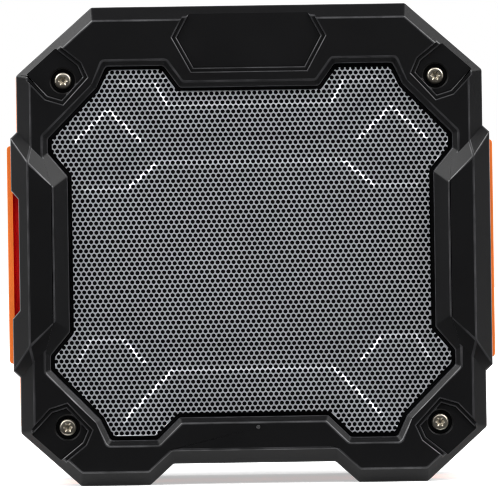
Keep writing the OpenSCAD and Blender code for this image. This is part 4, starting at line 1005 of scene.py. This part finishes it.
class SPEAKER_OT_grille(bpy.types.Operator):
    """Pressed steel sheet with its lattice of holes, over the cloth"""

    bl_idname = "speaker.grille"
    bl_label = "Grille"

    def execute(self, context):
        sizes = context.scene.speaker_sizes
        low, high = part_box("grille")
        shape = joined_shape("grille")
        field_end = field_y + NEAR
        soften(shape, sizes.crease, CREASE_TURN, lambda edge: edge.verts[0].co.y < field_end)
        piece = piece_from(shape, "grille_finished")
        tree, names = make_perforation()
        run_tree(piece, tree, names, {
            "Pitch": sizes.hole_pitch, "Row gap": sizes.row_gap, "Radius": sizes.hole_radius,
            "Sides": sizes.hole_sides, "Columns": odd_count((high.x - low.x) / sizes.hole_pitch),
            "Rows": odd_count((high.z - low.z) / sizes.row_gap),
            "Turn": sizes.hole_turn, "Middle": (sizes.hole_shift_x, 0, mid_z + sizes.hole_shift_z),
            "Depth": CUTTER_L, "Front": low.y - LAYOUT_LEAD, "Field": field_end,
            "Over": sizes.hole_over, "Material": finish_named("grille_steel"),
        })
        self.paint_sheet(piece)
        shade(piece)
        dress(piece, "grille")
        paint_nodes("grille_cloth")
        return {"FINISHED"}

    def paint_sheet(self, piece):
        """Paints the raised sheet, and the folded rim round it matt black as painted shade in the gap under
        the frame.
        """
        piece.data.materials.clear()
        for name in ("grille_steel", "rim_paint"):
            piece.data.materials.append(finish_named(name))
        for face in piece.data.polygons:
            face.material_index = int(face.center.y > field_y + RIM_DROP)


# The housing's inner parts lie within this of the baffle's edge
INNER_ROOM = 2 * MM
# The slot behind the left rail, whose inside gets painted shade: its depths from the rail's outside, and
# half its height
SLOT_START = 1.7 * MM
SLOT_END = 4.15 * MM
SLOT_HALF_H = 18.9 * MM


class SPEAKER_OT_case(bpy.types.Operator):
    """Housing, rear cover, baffle and the gaskets between them"""

    bl_idname = "speaker.case"
    bl_label = "Case"

    def execute(self, context):
        width = context.scene.speaker_sizes.case_edge
        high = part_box("baffle")[1]

        def outside(edge):
            middle = (edge.verts[0].co + edge.verts[1].co) / 2
            return abs(middle.x) > high.x + INNER_ROOM or middle.z > high.z + INNER_ROOM

        self.paint_slot_shade(softened_copy("housing", width, keep=outside))
        softened_copy("rear_cover", width)
        paint_nodes("baffle", "front_gasket", "rear_gasket")
        return {"FINISHED"}

    def paint_slot_shade(self, piece):
        """Paints the inside of the slot behind the left rail red, as painted shade of the orange housing
        deep in the slot.
        """
        piece.data.materials.append(finish_named("slot_paint"))
        rail_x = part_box("housing")[0].x
        for face in piece.data.polygons:
            depth = face.center.x - rail_x
            if SLOT_START < depth < SLOT_END and abs(face.center.z - mid_z) < SLOT_HALF_H:
                face.material_index = len(piece.data.materials) - 1


# A screw's socket, as shares of its head: radius, and heights of its floor and of its tool's top
SOCKET_R = 0.62
SOCKET_LOW = 0.6
SOCKET_HIGH = 1.04
# Edges of a screw that turn less than this are shaded smooth
SCREW_SMOOTH = math.radians(35)


class SPEAKER_OT_screws(bpy.types.Operator):
    """Every screw, with its socket and thread"""

    bl_idname = "speaker.screws"
    bl_label = "Screws"

    def execute(self, context):
        for node, aim in (
            ("front_screws", (0, -1, 0)),
            ("rear_screws", (0, 1, 0)),
            ("driver_screws", (0, 1, 0)),
            ("button_board_screws", (0, 0, -1)),
            ("main_board_screws", (-1, 0, 0)),
        ):
            self.make(node, Vector(aim))
        return {"FINISHED"}

    def make(self, node, aim):
        axis = max(range(3), key=lambda k: abs(aim[k]))
        boxes = island_boxes(node)
        low, high = boxes[0]
        spread = high - low
        head_r = max(spread[k] for k in range(3) if k != axis) / 2
        head_h, shank_r = self.proportions(node, head_r)
        total = spread[axis]
        screw = screw_shape(head_r, head_h, shank_r, total - head_h)
        screw = socket_cut(screw, head_r * SOCKET_R, head_h * SOCKET_LOW, head_h * SOCKET_HIGH)
        places = []
        for low, high in boxes:
            seat = (low + high) / 2
            seat[axis] = high[axis] - head_h if aim[axis] > 0 else low[axis] + head_h
            places.append(seat)
        piece = copies_of(screw, places, aim, node + "_finished", slot_of[node])
        shade(piece, SCREW_SMOOTH)
        dress(piece, node, slot_of[node])

    def proportions(self, node, head_r):
        """Head height and shank radius of a screw, from its head's radius."""
        share_h, share_r = {
            "driver_screws": (1.5 / 2.1, 1.1 / 2.1),
            "button_board_screws": (1.3 / 1.9, 1 / 1.9),
            "main_board_screws": (1.3 / 1.9, 1 / 1.9),
        }.get(node, (2 / 2.5, 1.45 / 2.5))
        return head_r * share_h, head_r * share_r


# Rounding of the buttons
BUTTON_EDGE = 0.2 * MM


class SPEAKER_OT_controls(bpy.types.Operator):
    """Control panel and its five marked buttons"""

    bl_idname = "speaker.controls"
    bl_label = "Controls"

    def execute(self, context):
        sizes = context.scene.speaker_sizes
        softened_copy("control_panel", sizes.case_edge, SMOOTH_ANGLE)
        marks = {
            "power_button": self.power_mark,
            "pair_button": self.link_mark,
            "volume_down_button": self.minus_mark,
            "play_button": self.play_mark,
            "volume_up_button": self.plus_mark,
        }
        for node, draw in marks.items():
            piece = softened_copy(node, BUTTON_EDGE, SMOOTH_ANGLE)
            self.add_mark(piece, node, draw, sizes)
        return {"FINISHED"}

    def add_mark(self, piece, node, draw, sizes):
        low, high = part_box(node)
        shape = bmesh.new()
        for outline in draw(sizes.mark_line):
            prism(shape, outline, -sizes.mark_rise, sizes.mark_rise)
        middle = (low + high) / 2
        bmesh.ops.translate(shape, vec=(middle.x, middle.y, high.z), verts=shape.verts)
        mark = piece_from(shape, node + "_mark")
        mark.data.materials.append(finish_named("mark_paint"))
        shade(mark)
        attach(mark, body_of[node])

    def bar(self, x, y, wide, high):
        return [(x - wide / 2, y - high / 2), (x + wide / 2, y - high / 2),
                (x + wide / 2, y + high / 2), (x - wide / 2, y + high / 2)]

    def arc(self, x, y, radius, line, first, last, steps=20):
        """A bent bar from one angle to another, in degrees."""
        angles = [math.radians(first + (last - first) * i / steps) for i in range(steps + 1)]
        outer, inner = radius + line / 2, radius - line / 2
        points = [(x + outer * math.cos(a), y + outer * math.sin(a)) for a in angles]
        return points + [(x + inner * math.cos(a), y + inner * math.sin(a)) for a in reversed(angles)]

    def power_mark(self, line):
        radius = 2.1 * MM
        return [self.arc(0, 0, radius, line, 125, 415), self.bar(0, radius * 0.8, line, radius * 1.3)]

    def link_mark(self, line):
        """A dot with two waves on each side."""
        outlines = [self.arc(0, 0, line * 0.6, line * 0.8, 0, 352)]
        for radius in (1.7 * MM, 3.0 * MM):
            for middle in (0, 180):
                outlines.append(self.arc(0, 0, radius, line, middle - 42, middle + 42, 10))
        return outlines

    def minus_mark(self, line):
        return [self.bar(0, 0, 4.6 * MM, line)]

    def plus_mark(self, line):
        arm = 2.3 * MM
        half = line / 2
        return [[(-arm, -half), (-half, -half), (-half, -arm), (half, -arm), (half, -half), (arm, -half),
                 (arm, half), (half, half), (half, arm), (-half, arm), (-half, half), (-arm, half)]]

    def play_mark(self, line):
        side = 3.4 * MM
        left = -1.9 * MM
        triangle = [(left, -side / 2), (0.7 * MM, 0), (left, side / 2)]
        return [triangle] + [self.bar(x, 0, line * 0.8, side) for x in (1.5 * MM, 2.9 * MM)]


# Rounding of the sockets
AUX_EDGE = 0.2 * MM
CHARGING_EDGE = 0.1 * MM


class SPEAKER_OT_ports(bpy.types.Operator):
    """Port door with its hinge pin, and the sockets behind it"""

    bl_idname = "speaker.ports"
    bl_label = "Ports"

    def execute(self, context):
        softened_copy("port_door", context.scene.speaker_sizes.door_edge)
        softened_copy("aux_socket", AUX_EDGE, SMOOTH_ANGLE)
        softened_copy("charging_socket", CHARGING_EDGE, SMOOTH_ANGLE)
        paint_nodes("port_door_pin")
        return {"FINISHED"}


# Width of the glued rims of the surround and of the spider
SURROUND_RIM = 2.2 * MM
SPIDER_RIM = 3.5 * MM


class SPEAKER_OT_driver(bpy.types.Operator):
    """Driver: basket, magnet and the cone with its surround and spider"""

    bl_idname = "speaker.driver"
    bl_label = "Driver"

    def execute(self, context):
        low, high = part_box("surround")
        edge_r = (high.x - low.x) / 2
        cone_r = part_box("cone")[1].x
        self.flexing("surround", edge_r - SURROUND_RIM, cone_r)
        spider_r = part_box("spider")[1].x
        coil_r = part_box("voice_coil")[1].x
        self.flexing("spider", spider_r - SPIDER_RIM, coil_r)
        paint_nodes("driver_basket", "driver_gasket", "cone", "dust_cap", "voice_coil", "top_plate",
                    "magnet", "yoke", "terminal_strip")
        return {"FINISHED"}

    def flexing(self, node, still_r, moving_r):
        """A copy of the ring in the node's place, shaded smooth and given its finish."""
        piece = piece_from(joined_shape(node), node + "_finished")
        shade(piece)
        piece.data.materials.append(finish_named(slot_of[node]))
        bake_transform(piece)
        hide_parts(node)


class SPEAKER_OT_electronics(bpy.types.Operator):
    """Boards, switches, battery, leads and the status light"""

    bl_idname = "speaker.electronics"
    bl_label = "Electronics"

    def execute(self, context):
        paint_nodes("button_board", "tact_switches", "main_board", "battery_tray", "battery_cells",
                    "status_light_pipe", "status_light_board", "speaker_leads", "battery_leads",
                    "button_leads", "status_leads")
        return {"FINISHED"}


PIECES = (
    SPEAKER_OT_stage,
    SPEAKER_OT_frames,
    SPEAKER_OT_grille,
    SPEAKER_OT_case,
    SPEAKER_OT_screws,
    SPEAKER_OT_controls,
    SPEAKER_OT_ports,
    SPEAKER_OT_driver,
    SPEAKER_OT_electronics,
)
SETTINGS = {
    "speaker_sizes": SpeakerSizes,
    "speaker_colours": SpeakerColours,
    "speaker_studio": SpeakerStudio,
}


class SPEAKER_PT_panel(bpy.types.Panel):
    """The speaker's settings and the pieces to build"""

    bl_idname = "SPEAKER_PT_panel"
    bl_label = "Speaker"
    bl_space_type = "VIEW_3D"
    bl_region_type = "UI"
    bl_category = "Speaker"

    def draw(self, context):
        for operator in PIECES:
            self.layout.operator(operator.bl_idname)
        for name, group in SETTINGS.items():
            settings = getattr(context.scene, name)
            column = self.layout.column()
            for field in group.__annotations__:
                column.prop(settings, field)


def register():
    for group in (*SETTINGS.values(), *PIECES, SPEAKER_PT_panel):
        bpy.utils.register_class(group)
    for name, group in SETTINGS.items():
        setattr(bpy.types.Scene, name, PointerProperty(type=group))


def unregister():
    for name in SETTINGS:
        delattr(bpy.types.Scene, name)
    for group in (SPEAKER_PT_panel, *reversed(PIECES), *SETTINGS.values()):
        bpy.utils.unregister_class(group)


def main():
    register()
    bpy.ops.speaker.stage()
    bpy.ops.speaker.frames()
    bpy.ops.speaker.grille()
    bpy.ops.speaker.case()
    bpy.ops.speaker.screws()
    bpy.ops.speaker.controls()
    bpy.ops.speaker.ports()
    bpy.ops.speaker.driver()
    bpy.ops.speaker.electronics()


if __name__ == "__main__":
    main()
